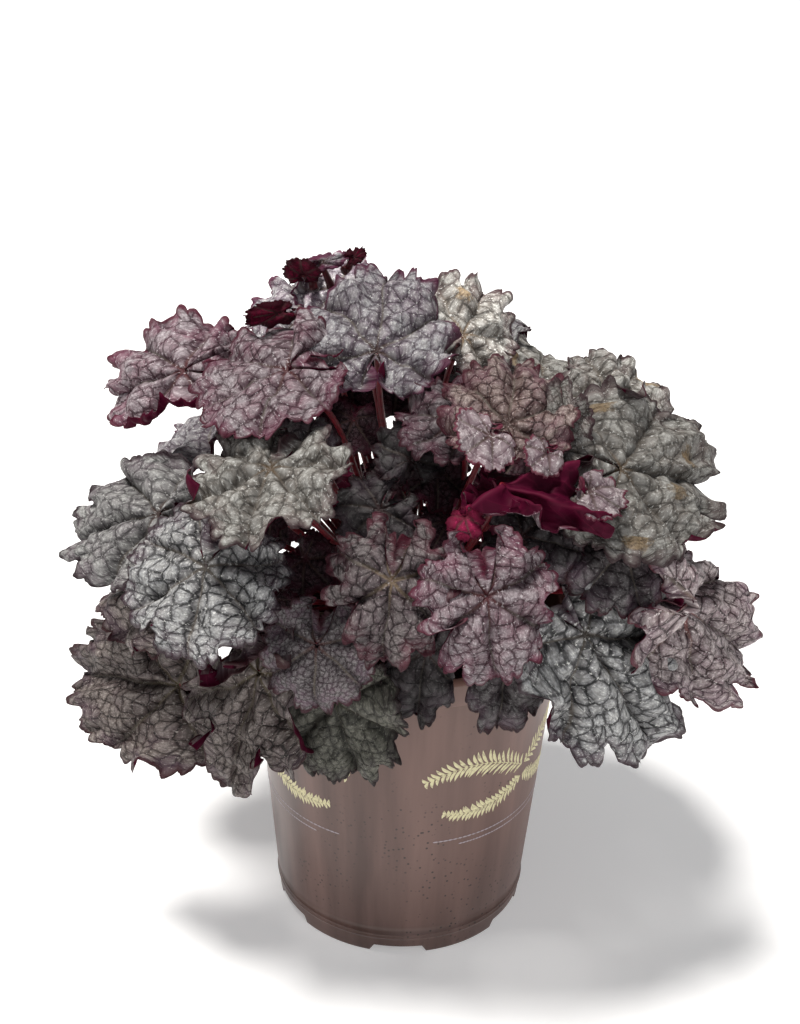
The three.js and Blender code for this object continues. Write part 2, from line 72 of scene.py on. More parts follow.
def smooth(low, high, value):
    # smoothstep: 0 below low, 1 above high, 3t^2 - 2t^3 between
    t = np.clip((value - low) / (high - low), 0, 1)
    return t * t * (3 - 2 * t)


def addMesh(name, points, faces, materials, faceMaterial=None, maps=None, values=None, shadeSmooth=True):
    # a mesh piece from whole arrays: faces are index arrays with three or four columns, maps are UVs by
    # corner
    mesh = bpy.data.meshes.new(name)
    sides = np.concatenate([np.full(len(block), block.shape[1]) for block in faces])
    corners = np.concatenate([block.ravel() for block in faces])
    mesh.vertices.add(len(points))
    mesh.vertices.foreach_set("co", (points * mm).astype(np.float32).ravel())
    mesh.loops.add(len(corners))
    mesh.loops.foreach_set("vertex_index", corners.astype(np.int32))
    mesh.polygons.add(len(sides))
    mesh.polygons.foreach_set("loop_start", np.concatenate([[0], np.cumsum(sides)[:-1]]).astype(np.int32))
    mesh.update(calc_edges=True)
    mesh.polygons.foreach_set("use_smooth", np.full(len(sides), shadeSmooth))
    for material in materials:
        mesh.materials.append(material)
    if faceMaterial is not None:
        mesh.polygons.foreach_set("material_index", faceMaterial.astype(np.int32))
    for mapName, flat in (maps or {}).items():
        layer = mesh.uv_layers.new(name=mapName)
        layer.data.foreach_set("uv", flat[corners].astype(np.float32).ravel())
    for valueName, numbers in (values or {}).items():
        mesh.attributes.new(valueName, "FLOAT", "POINT").data.foreach_set("value", numbers.astype(np.float32))
    mesh.validate()
    piece = bpy.data.objects.new(name, mesh)
    bpy.context.scene.collection.objects.link(piece)
    return piece


def gridFaces(rows, columns, closed):
    # quads of a grid of points stored row by row; closed joins the last column to the first
    i = np.arange(rows - 1)[:, None] * columns
    j = np.arange(columns if closed else columns - 1)[None, :]
    k = (j + 1) % columns
    return np.stack([i + j, i + k, i + columns + k, i + columns + j], -1).reshape(-1, 4)


# ---- camera, light and floor

# fitted by a scratch program and rounded, like the radii of the pot's foot and neck
view = {
    "lens": 50.46,  # mm, on a 36 mm wide sensor
    "target": (-4.4, 0, 213.2),
    "distance": 690.4,
    "pitch": 24.2,  # degrees below the horizon
    "roll": -1.44,
}


def addCamera():
    camera = bpy.data.objects.new("camera", bpy.data.cameras.new("camera"))
    bpy.context.scene.collection.objects.link(camera)
    camera.data.lens = view["lens"]
    camera.data.clip_end = 20
    pitch, roll = math.radians(view["pitch"]), math.radians(view["roll"])
    back = Vector((0, -math.cos(pitch), math.sin(pitch)))
    up = Vector((0, math.sin(pitch), math.cos(pitch)))
    right = Vector((1, 0, 0))
    rolledRight = right * math.cos(roll) - up * math.sin(roll)
    rolledUp = right * math.sin(roll) + up * math.cos(roll)
    turn = Matrix((rolledRight, rolledUp, back)).transposed().to_4x4()
    place = (Vector(view["target"]) + back * view["distance"]) * mm
    camera.matrix_world = Matrix.Translation(place) @ turn
    bpy.context.scene.camera = camera


def addLight(name, direction, softness, strength, colour):
    # a far soft box: a sun lamp whose disc is as wide as the softness, in degrees
    light = bpy.data.lights.new(name, "SUN")
    light.angle = math.radians(softness)
    light.energy = strength
    light.color = linear(colour)[:3]
    lamp = bpy.data.objects.new(name, light)
    bpy.context.scene.collection.objects.link(lamp)
    lamp.rotation_euler = Vector(direction).to_track_quat("-Z", "Y").to_euler()


def addStudio():
    addLight("keyLight", (0.25, 0.1, -1.0), 15, 4.35, "#fffcf8")
    addLight("fillLight", (-0.4, 0.9, -0.6), 60, 0.5, "#f7f9ff")
    world = bpy.data.worlds.new("studio")
    world.use_nodes = True
    tree = world.node_tree
    tree.nodes.clear()
    seen = add(tree, "LightPath", output="Is Camera Ray")
    strength = add(tree, "MapRange", {"Value": seen, "To Min": 0.175, "To Max": 1.0})
    sky = add(tree, "Background", {"Color": linear("#ffffff"), "Strength": strength})
    add(tree, "OutputWorld", {"Surface": sky})
    bpy.context.scene.world = world
    bpy.context.scene.view_settings.view_transform = "Standard"
    bpy.context.scene.view_settings.look = "None"

    # a light table: matt white acrylic, lit a little from below
    material, tree = newMaterial("mattWhiteAcrylic")
    surface = add(tree, "BsdfPrincipled", {"Base Color": linear("#ebebeb"), "Roughness": 0.9,
                                           "Emission Color": linear("#ffffff"), "Emission Strength": 0.3})
    finishMaterial(tree, surface)
    side = 6000
    corners = np.array([[-side, -side, 0], [side, -side, 0], [side, side, 0], [-side, side, 0]], float)
    floor = addMesh("floor", corners, [np.array([[0, 1, 2, 3]])], [material], shadeSmooth=False)


addCamera()
addStudio()
print("camera, lights and floor are in place")

# ---- pot

pot = {
    "height": 165, "footRadius": 64, "neckRadius": 77, "lipRadius": 82.5, "lipDepth": 11, "wall": 1.6,
    "lipRound": 0.9, "floorLevel": 5, "padRadius": 12, "beadLevel": 9.5, "bead": 0.6,
    "notches": 6, "notchWidth": 25, "notchHeight": 4, "sides": 168,
}


def arc(centre, radius, start, end, steps):
    # points of a circle's arc in the profile's plane, angles in degrees
    angle = np.radians(np.linspace(start, end, steps))
    return np.stack([centre[0] + radius * np.cos(angle), centre[1] + radius * np.sin(angle)], 1)


def wallRadius(height):
    # outside of the tapered wall at a height
    rise = pot["height"] - pot["lipDepth"]
    return pot["footRadius"] + (pot["neckRadius"] - pot["footRadius"]) * height / rise


def potProfile():
    # radius and height from the middle of the underside, round the foot, up the wall and lip, down the
    # inside
    p = pot
    soft = p["lipRound"]
    rim, top = p["lipRadius"], p["height"]
    inner = wallRadius(top) - p["wall"]
    lipFoot = top - p["lipDepth"]
    levels = np.linspace(p["beadLevel"] + 2, top - p["wall"] - 2, 26)
    ridge = np.linspace(-2, 2, 13)
    beadPoints = np.stack([wallRadius(p["beadLevel"] + ridge) + p["bead"] * np.exp(-(ridge / 0.7) ** 2),
                           p["beadLevel"] + ridge], 1)
    inside = np.linspace(top - 3, p["floorLevel"] + p["wall"] + 1, 12)
    return np.concatenate([
        [[0, 0], [p["padRadius"] - 0.3, 0], [p["padRadius"], 0.3], [p["padRadius"] + 1, p["floorLevel"]]],
        [[p["footRadius"] - 3.4, p["floorLevel"]], [p["footRadius"] - 2.3, 0.3]],
        arc((p["footRadius"] - 0.5, 0.5), 0.5, 270, 350, 4),
        np.stack([wallRadius(np.linspace(2, 7, 5)), np.linspace(2, 7, 5)], 1),
        beadPoints,
        np.stack([wallRadius(levels), levels], 1),
        [[wallRadius(top - p["wall"]) + 0.2, top - p["wall"]], [rim - 1.7, top - p["wall"]]],
        [[rim - 1.5, top - p["wall"] - 0.4], [rim - 1.5, lipFoot + 0.3]],
        arc((rim - 0.75, lipFoot + 0.5), 0.75, 200, 340, 6),
        [[rim, lipFoot + 3], [rim + 0.12, lipFoot + 6]],
        arc((rim - soft, top - soft), soft, 0, 90, 6),
        arc((inner + soft, top - soft), soft, 90, 180, 6),
        np.stack([wallRadius(inside) - p["wall"], inside], 1),
        [[wallRadius(p["floorLevel"] + p["wall"]) - p["wall"] - 1, p["floorLevel"] + p["wall"]],
         [0, p["floorLevel"] + p["wall"]]],
    ])


def mouldedPolypropylene():
    # injection moulded brown polypropylene: satin, streaked upright where the melt ran, with dust specks
    material, tree = newMaterial("mouldedPolypropylene")
    spot = add(tree, "TexCoord", output="Object")
    streakScale = add(tree, "Mapping", {"Vector": spot, "Scale": (62, 62, 3.5)})
    streaks = add(tree, "TexNoise", {"Vector": streakScale, "Scale": 1.0, "Detail": 4.0, "Roughness": 0.55})
    wideScale = add(tree, "Mapping", {"Vector": spot, "Scale": (20, 20, 3)})
    wide = add(tree, "TexNoise", {"Vector": wideScale, "Scale": 1.0, "Detail": 2.0})
    both = add(tree, "Math", {0: streaks, 1: wide}, operation="ADD")
    mixed = add(tree, "MapRange", {"Value": both, "From Min": 0.75, "From Max": 1.25})
    colour = add(tree, "Mix", {"Factor": mixed, "A": linear("#4a342e"), "B": linear("#765a52")},
                 output=2, data_type="RGBA")
    specks = add(tree, "TexVoronoi", {"Vector": spot, "Scale": 330.0}, feature="F1")
    patchy = add(tree, "TexNoise", {"Vector": spot, "Scale": 22.0, "Detail": 2.0})
    near = add(tree, "MapRange", {"Value": specks, "From Min": 0.12, "From Max": 0.24, "To Min": 1.0,
                                  "To Max": 0.0})
    where = add(tree, "MapRange", {"Value": patchy, "From Min": 0.46, "From Max": 0.58})
    speck = add(tree, "Math", {0: near, 1: where}, operation="MULTIPLY")
    dusty = add(tree, "Mix", {"Factor": speck, "A": colour, "B": linear("#2c211d")}, output=2,
                data_type="RGBA")
    grain = add(tree, "TexNoise", {"Vector": spot, "Scale": 900.0, "Detail": 2.0})
    bump = add(tree, "Bump", {"Height": grain, "Strength": 0.12, "Distance": 0.0003})
    gloss = add(tree, "MapRange", {"Value": wide, "From Min": 0.3, "From Max": 0.7, "To Min": 0.34,
                                   "To Max": 0.46})
    surface = add(tree, "BsdfPrincipled", {"Base Color": dusty, "Roughness": gloss, "Normal": bump,
                                           "IOR": 1.49})
    finishMaterial(tree, surface)
    return material


def makePot():
    # radius r(s), height z(s) of the profile turned round Z; in a notch no point of the foot lies under its
    # roof
    p = pot
    profile = potProfile()
    turn = np.arange(p["sides"]) / p["sides"] * 2 * np.pi
    notchTurn = 2 * np.pi / p["notches"]
    off = np.abs((turn - np.pi / 2 + notchTurn / 2) % notchTurn - notchTurn / 2) * p["footRadius"]
    roof = p["notchHeight"] * (1 - smooth(p["notchWidth"] / 2 - 0.6, p["notchWidth"] / 2 + 0.6, off))
    inRing = (profile[:, 0] > p["footRadius"] - 4)[:, None]
    height = np.where(inRing, np.maximum(profile[:, 1, None], roof[None, :]), profile[:, 1, None])
    radius = profile[:, 0, None]
    points = np.stack([radius * np.cos(turn), radius * np.sin(turn), height + 0 * radius], -1)
    rows, columns = points.shape[:2]
    faces = gridFaces(rows, columns, True)
    piece = addMesh("nurseryPot", points.reshape(-1, 3), [faces], [mouldedPolypropylene()])
    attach(piece, "root")
    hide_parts("pot")


def onWall(turn, height, out):
    # place on the pot's wall: turn in degrees round from the front to the right, height and way out in mm
    radius = wallRadius(height) + out
    angle = np.radians(turn)
    return np.stack([radius * np.sin(angle), -radius * np.cos(angle), height], -1)


def strokes(starts, ends, bows, widths):
    # Flat lens-shaped bodies on the wall, as wide as w sin(pi t)^0.8 along a line that bows by 4 b t (1 -
    # t); places are (turn, height). Each is a closed tube of four corners round.
    t = np.linspace(0, 1, 9)[None, :, None]
    aspect = np.array([np.radians(1) * 73, 1])  # mm per degree of turn
    along = (ends - starts) * aspect
    across = np.stack([-along[:, 1], along[:, 0]], -1) / np.linalg.norm(along, axis=1)[:, None] / aspect
    line = starts[:, None] + (ends - starts)[:, None] * t + 4 * t * (1 - t) * (bows[:, None] * across)[:,
                                                                                                       None]
    wide = np.maximum(np.sin(np.pi * t) ** 0.8, 0.06) * widths[:, None, None]
    corners = [line + wide * across[:, None], line, line - wide * across[:, None], line]
    outs = (0, 0.14, 0, -0.3)
    points = np.stack([onWall(c[..., 0], c[..., 1], out) for c, out in zip(corners, outs)], -2)
    count, rows = points.shape[:2]
    start = np.arange(count)[:, None, None] * rows * 4
    quads = (gridFaces(rows, 4, True)[None] + start).reshape(-1, 4)
    caps = np.array([[3, 2, 1, 0], [rows * 4 - 4, rows * 4 - 3, rows * 4 - 2, rows * 4 - 1]])
    return points.reshape(-1, 3), np.concatenate([quads, (caps[None] + start).reshape(-1, 4)])


def printInk(name, colour):
    # screen printed ink: opaque and matt beside the satin plastic, worn thin in places
    material, tree = newMaterial(name)
    spot = add(tree, "TexCoord", output="Object")
    worn = add(tree, "TexNoise", {"Vector": spot, "Scale": 700.0, "Detail": 3.0})
    thin = add(tree, "MapRange", {"Value": worn, "From Min": 0.52, "From Max": 0.7, "To Max": 0.6})
    ink = add(tree, "Mix", {"Factor": thin, "A": linear(colour), "B": linear("#7a665c")}, output=2,
              data_type="RGBA")
    surface = add(tree, "BsdfPrincipled", {"Base Color": ink, "Roughness": 0.65, "IOR": 1.48})
    finishMaterial(tree, surface)
    return material


def makePrint():
    # Garland of four fern fronds, three times round the pot: each frond arches away from the middle and
    # carries leaflets on both sides that shorten towards its tip. Two plain lines run below.
    random = np.random.default_rng(31)
    middles = (53.5, -66.5, 173.5)  # degrees round from the front
    degree = 1.27  # mm along the wall for one degree of turn
    parts = []
    for middle in middles:
        for hand in (-1, 1):
            for reach, start, arch, leaflet in ((44, 100, 15, 8.5), (36, 94, -7, 6.5)):
                t = np.linspace(0.02, 1, 21)
                stem = np.stack([middle + hand * reach * t, start + arch * np.sin(2.4 * t) - 2 * t], 1)
                parts.append((stem[:-1], stem[1:], 0, 0.38))
                slope = np.gradient(stem * (degree, 1), axis=0)
                heading = np.arctan2(slope[:, 1], slope[:, 0])
                for side in (-1, 1):
                    turn = heading + side * np.radians(48 + 10 * random.random(21))
                    length = leaflet * (0.35 + 0.65 * np.sin(np.pi * (0.2 + 0.75 * t)))
                    length = length * (0.8 + 0.4 * random.random(21))
                    tips = stem + np.stack([np.cos(turn) / degree, np.sin(turn)], 1) * length[:, None]
                    parts.append((stem, tips, -0.8 * side, 0.85))
    starts, ends = (np.concatenate([part[i] for part in parts]) for i in (0, 1))
    bows, widths = (np.concatenate([np.full(len(part[0]), float(part[i])) for part in parts]) for i in (2, 3))
    lineTurns = np.linspace(0, 1, 41)
    lineStarts, lineEnds = [], []
    for middle in middles:
        for level, half in ((71, 41), (67.5, 30)):
            turns = middle + half * (2 * lineTurns - 1)
            lineStarts.append(np.stack([turns[:-1], np.full(40, level)], 1))
            lineEnds.append(np.stack([turns[1:] + 0.4, np.full(40, level)], 1))
    lineStarts, lineEnds = np.concatenate(lineStarts), np.concatenate(lineEnds)
    green, greenFaces = strokes(starts, ends, bows, widths)
    grey, greyFaces = strokes(lineStarts, lineEnds, np.zeros(len(lineStarts)), np.full(len(lineStarts), 0.4))
    inks = [printInk("creamScreenInk", "#d6cfa6"), printInk("lilacGreyScreenInk", "#a89fa6")]
    slots = np.repeat([0, 1], [len(greenFaces), len(greyFaces)])
    piece = addMesh("printedGarland", np.concatenate([green, grey]),
                    [np.concatenate([greenFaces, greyFaces + len(green)])], inks, slots, shadeSmooth=False)
    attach(piece, "root")


makePot()
makePrint()
print("pot and its print are made")

# ---- leaves: what the solids say

leafForm = {
    "shares": (0, 0.3, 0.62, 1), "lobeStep": 54, "scallops": 40,
    "blade": 0.5, "rimBlade": 0.3, "cadBlade": 0.8,
    "scallopDepth": 0.07, "toothDepth": 0.018, "sinusDepth": 0.1, "filling": 0.25, "lobing": 0.12,
    "blunt": 0.14,
    "sideSlope": 1.15, "sideSpacing": 10.5, "cell": 6.6,
    "netRandomness": 0.8, "sectorShift": (7.3, 3.7), "sideFade": (0.3, 0.46), "sideLead": 0.25,
    "pleat": 4.2, "ruffle": 1.7, "lump": 1.7,
    "stalkRadius": 1.45, "stalkSides": 10, "stalkRings": 20,
}


def leafRings(cadMesh):
    # The solid's corners by ring. The hub is the only corner that ten edges meet at, and a corner's ring is
    # the number of edges between it and the hub: 10, 20 and 40 corners on the upper face, the same on the
    # lower face, then 5 for each ring of the stalk.
    count = len(cadMesh.vertices)
    loose = np.empty(count * 3)
    cadMesh.vertices.foreach_get("co", loose)
    keys, first, same = np.unique(np.round(loose.reshape(-1, 3) / 2e-6).astype(np.int64), axis=0,
                                  return_index=True, return_inverse=True)
    corners = loose.reshape(-1, 3)[first] / mm
    cadMesh.calc_loop_triangles()
    triangles = np.empty(len(cadMesh.loop_triangles) * 3, np.int32)
    cadMesh.loop_triangles.foreach_get("vertices", triangles)
    triangles = same.ravel()[triangles].reshape(-1, 3)
    near = np.zeros((len(keys), len(keys)), bool)
    for a, b in ((0, 1), (1, 2), (2, 0)):
        near[triangles[:, a], triangles[:, b]] = near[triangles[:, b], triangles[:, a]] = True
    ring = np.full(len(keys), -1)
    hub = np.flatnonzero(near.sum(1) == 10)[0]
    ring[hub] = 0
    for step in range(11):
        ring[near[ring == step].any(0) & (ring < 0)] = step + 1
    fan = triangles[(triangles == hub).any(1)]
    up = np.cross(corners[fan[:, 1]] - corners[fan[:, 0]], corners[fan[:, 2]] - corners[fan[:, 0]]).sum(0)
    up /= np.linalg.norm(up)
    return corners, near, ring, hub, up


def orderedRings(cadMesh):
    # Hub, the three upper rings in order round the hub, from the cut at the stalk, and the stalk's centres.
    # The first ring is sorted by its angle; each further corner lies midway between its inner neighbours.
    corners, near, ring, hub, up = leafRings(cadMesh)
    member = np.flatnonzero(ring == 1)
    spoke = corners[member] - corners[hub]
    across = np.cross(up, spoke[0])
    angle = np.arctan2(spoke @ across / np.linalg.norm(across), spoke @ spoke[0] / np.linalg.norm(spoke[0]))
    member = member[np.argsort(angle)]
    phase = np.zeros(len(corners), complex)
    phase[member] = np.exp(2j * np.pi * np.arange(10) / 10)
    rings = [corners[member]]
    for step in (2, 3):
        outer = np.flatnonzero(ring == step)
        mean = near[outer][:, member].astype(float) @ phase[member]
        order = np.argsort(np.round(np.angle(mean) % (2 * np.pi), 6) % round(2 * np.pi, 6))
        member = outer[order]
        phase[member] = np.exp(1j * np.angle(mean[order]))
        rings.append(corners[member])
    first = np.argmin(np.linalg.norm(rings[2][::4] - corners[hub], axis=1))
    rings = [np.roll(points, -first * 2 ** i, axis=0) for i, points in enumerate(rings)]
    for points in rings[1:]:  # evens out the height from corner to corner
        rise = points @ up
        points += ((np.roll(rise, 1) + 2 * rise + np.roll(rise, -1)) / 4 - rise)[:, None] * up
    stalk = np.array([corners[ring == step].mean(0) for step in range(7, 12)])
    return corners[hub], rings, stalk, up


def cubic(a, b, c, d, t):
    # Catmull-Rom: the smooth curve from b to c as t goes from 0 to 1, with a and d as the points beyond
    return 0.5 * (2 * b + (c - a) * t + (2 * a - 5 * b + 4 * c - d) * t ** 2
                  + (3 * b - a - 3 * c + d) * t ** 3)


def around(ring, turn):
    # point at a turn of 0 to 1 round a closed ring: the cubic through the four nearest
    count = len(ring)
    place = turn * count
    index = np.floor(place).astype(int)
    t = (place - index)[:, None]
    a, b, c, d = (ring[(index + k) % count] for k in (-1, 0, 1, 2))
    return cubic(a, b, c, d, t)


def bladeAt(hub, rings, turn, share):
    # the cubic in share through the hub and the three rings (Lagrange)
    knots = leafForm["shares"]
    points = [np.broadcast_to(hub, (len(turn), 3))] + [around(ring, turn) for ring in rings]
    total = np.zeros((len(turn), 3))
    for i, point in enumerate(points):
        weight = np.ones(len(turn))
        for j, knot in enumerate(knots):
            if j != i:
                weight = weight * (share - knot) / (knots[i] - knot)
        total += weight[:, None] * point
    return total


def unit(vectors):
    return vectors / (np.linalg.norm(vectors, axis=1)[:, None] + 1e-12)


def bladeFrame(hub, rings, turn, share, up):
    # The surface's point, its outward tangent and its normal, from small steps along both parameters. Where
    # the surface folds over itself, both are drawn back towards the leaf's own face and the way from the
    # hub.
    small = 0.01
    held = np.clip(share, 0.04, 0.97)
    point = bladeAt(hub, rings, turn, share)
    outward = bladeAt(hub, rings, turn, held + small) - bladeAt(hub, rings, turn, held - small)
    sideways = bladeAt(hub, rings, turn + small, held) - bladeAt(hub, rings, turn - small, held)
    outward, normal = unit(outward), unit(np.cross(outward, sideways))
    fromHub = unit(point - hub)
    outward = unit(outward + 1.6 * np.maximum(0, 0.6 - (outward * fromHub).sum(1))[:, None] * fromHub)
    normal = unit(normal + 1.6 * np.maximum(0, 0.5 - normal @ up)[:, None] * up)
    return point, outward, normal


# ---- leaves: the net of veins

allBits = 0xffffffff  # of a 32-bit number


def mixBits(a, b, c):
    # the last round of Jenkins' hash on 32 bits, which Blender's textures use

    def spin(x, k):
        return ((x << k) | (x >> (32 - k))) & allBits

    c = ((c ^ b) - spin(b, 14)) & allBits
    a = ((a ^ c) - spin(c, 11)) & allBits
    b = ((b ^ a) - spin(a, 25)) & allBits
    c = ((c ^ b) - spin(b, 16)) & allBits
    a = ((a ^ c) - spin(c, 4)) & allBits
    b = ((b ^ a) - spin(a, 14)) & allBits
    return ((c ^ b) - spin(b, 24)) & allBits


def cellPoint(column, row):
    # where in its square a cell's point lies: the same hash as in Blender's 2D Voronoi texture
    bitsX, bitsY = (v.astype(np.float32).view(np.uint32).astype(np.int64) for v in (column, row))
    one = int(np.float32(1).view(np.uint32))
    start2, start3 = (0xdeadbeef + (size << 2) + 13 for size in (2, 3))
    x = mixBits(bitsX + start2 & allBits, bitsY + start2 & allBits, start2 + 0 * bitsX)
    y = mixBits(bitsX + start3 & allBits, bitsY + start3 & allBits, one + start3 + 0 * bitsX & allBits)
    return x / allBits, y / allBits


def netDistance(net):
    # distance from each place to the nearest border between two cells, in cells, as the texture gives it,
    # and a random number of 0 to 1 for the cell that the place is in
    randomness = leafForm["netRandomness"]
    square = np.floor(net)
    local = net - square
    toPoint, numbers = [], []
    for row in (-1, 0, 1):
        for column in (-1, 0, 1):
            x, y = cellPoint(square[:, 0] + column, square[:, 1] + row)
            toPoint.append(np.stack([column + x * randomness, row + y * randomness], 1) - local)
            numbers.append(x)
    toPoint = np.array(toPoint)
    nearest = np.argmin((toPoint ** 2).sum(2), axis=0)
    closest = toPoint[nearest, np.arange(len(net))]
    apart = toPoint - closest
    length = np.linalg.norm(apart, axis=2)
    middle = ((toPoint + closest) / 2 * apart).sum(2) / np.maximum(length, 1e-9)
    return np.where(length > 0.01, middle, 9).min(0), np.array(numbers)[nearest, np.arange(len(net))]


def veinDistances(flat):
    # Distances in mm to the nearest of the main veins, which run to the lobes' tips every 54 degrees, and
    # to the nearest side vein, which leave them on both sides at an even spacing, sloping outwards, and
    # fade out before the next main vein's own.
    f = leafForm
    step = math.radians(f["lobeStep"])
    reach = np.hypot(flat[:, 0], flat[:, 1])
    angle = np.arctan2(flat[:, 1], flat[:, 0])
    within = (angle + step / 2) % step - step / 2
    along, beside = reach * np.cos(within), np.abs(reach * np.sin(within))
    count = (along - f["sideSlope"] * beside) / f["sideSpacing"] + f["sideLead"] * np.sign(within)
    side = np.abs(count - np.round(count)) * f["sideSpacing"] / math.hypot(1, f["sideSlope"])
    return beside, side + 3 * smooth(f["sideFade"][0] * step, f["sideFade"][1] * step, np.abs(within))


def sectorShift(flat):
    # the net of cells is another piece of the pattern between each two main veins, so that no cell crosses
    # one
    sector = np.floor(np.arctan2(flat[:, 1], flat[:, 0]) / math.radians(leafForm["lobeStep"]))
    return sector[:, None] * leafForm["sectorShift"]


def puckers(flat, net, relief):
    # Height in mm: valleys exp(-(d/w)^1.5) along the veins, and in every cell of the net a cushion
    # 1 - (1 - t)^2 of a height of its own.
    main, side = veinDistances(flat)
    border, bulge = netDistance(net + sectorShift(flat))
    cell = border * leafForm["cell"]
    reach = np.hypot(flat[:, 0], flat[:, 1])
    grown = smooth(2, 12, reach)
    cushion = (1 - (1 - np.clip(cell / 2.8, 0, 1)) ** 2) * smooth(0, 1.6, main)
    valleys = 2.0 * np.exp(-(main / 2.6) ** 1.5) + 0.5 * np.exp(-(side / 1.4) ** 1.5)
    return relief * grown * ((0.25 + 0.65 * bulge) * cushion - valleys)


def lumps(flat, size, random):
    # an uneven swelling: the mean of eight sine waves of about one length, in directions all round
    turn, phase = random.random(8) * np.pi, random.random(8) * 2 * np.pi
    pace = 2 * np.pi / size * (0.7 + 0.6 * random.random(8))
    waves = flat[:, :1] * (np.cos(turn) * pace) + flat[:, 1:] * (np.sin(turn) * pace) + phase
    return np.sin(waves).sum(1) / math.sqrt(8)


# ---- leaves: materials

def veinNodes(tree):
    # the same distances as veinDistances and netDistance, in mm, read from the piece's two maps
    f = leafForm
    step = math.radians(f["lobeStep"])
    flat = add(tree, "UVMap", uv_map="veins")
    x = add(tree, "SeparateXYZ", {0: flat})
    y = x.node.outputs[1]
    reach = add(tree, "VectorMath", {0: flat}, output=1, operation="LENGTH")
    angle = add(tree, "Math", {0: y, 1: x}, operation="ARCTAN2")
    within = add(tree, "Math", {0: angle, 1: step / 2, 2: -step / 2}, operation="WRAP")
    cosine = add(tree, "Math", {0: within}, operation="COSINE")
    sine = add(tree, "Math", {0: within}, operation="SINE")
    along = add(tree, "Math", {0: reach, 1: cosine}, operation="MULTIPLY")
    across = add(tree, "Math", {0: reach, 1: sine}, operation="MULTIPLY")
    main = add(tree, "Math", {0: across}, operation="ABSOLUTE")
    slope = add(tree, "Math", {0: main, 1: -f["sideSlope"], 2: along}, operation="MULTIPLY_ADD")
    sign = add(tree, "Math", {0: within}, operation="SIGN")
    offset = add(tree, "Math", {0: sign, 1: f["sideLead"]}, operation="MULTIPLY")
    count = add(tree, "Math", {0: slope, 1: 1 / f["sideSpacing"], 2: offset}, operation="MULTIPLY_ADD")
    part = add(tree, "Math", {0: count, 1: 0.5}, operation="PINGPONG")
    apart = add(tree, "Math", {0: within}, operation="ABSOLUTE")
    fading = add(tree, "MapRange", {"Value": apart, "From Min": f["sideFade"][0] * step,
                                    "From Max": f["sideFade"][1] * step, "To Max": 3.0},
                 interpolation_type="SMOOTHSTEP")
    side = add(tree, "Math", {0: part, 1: f["sideSpacing"] / math.hypot(1, f["sideSlope"]), 2: fading},
               operation="MULTIPLY_ADD")
    net = add(tree, "UVMap", uv_map="net")
    sector = add(tree, "Math", {0: angle, 1: step}, operation="DIVIDE")
    sector = add(tree, "Math", {0: sector}, operation="FLOOR")
    cut = add(tree, "VectorMath", {0: sector, 1: (*f["sectorShift"], 0), 2: net}, operation="MULTIPLY_ADD")
    border = add(tree, "TexVoronoi", {"Vector": cut, "Scale": 1.0, "Randomness": f["netRandomness"]},
                 output="Distance",
                 voronoi_dimensions="2D", feature="DISTANCE_TO_EDGE")
    cell = add(tree, "Math", {0: border, 1: f["cell"]}, operation="MULTIPLY")
    return reach, main, side, cell, net, cut


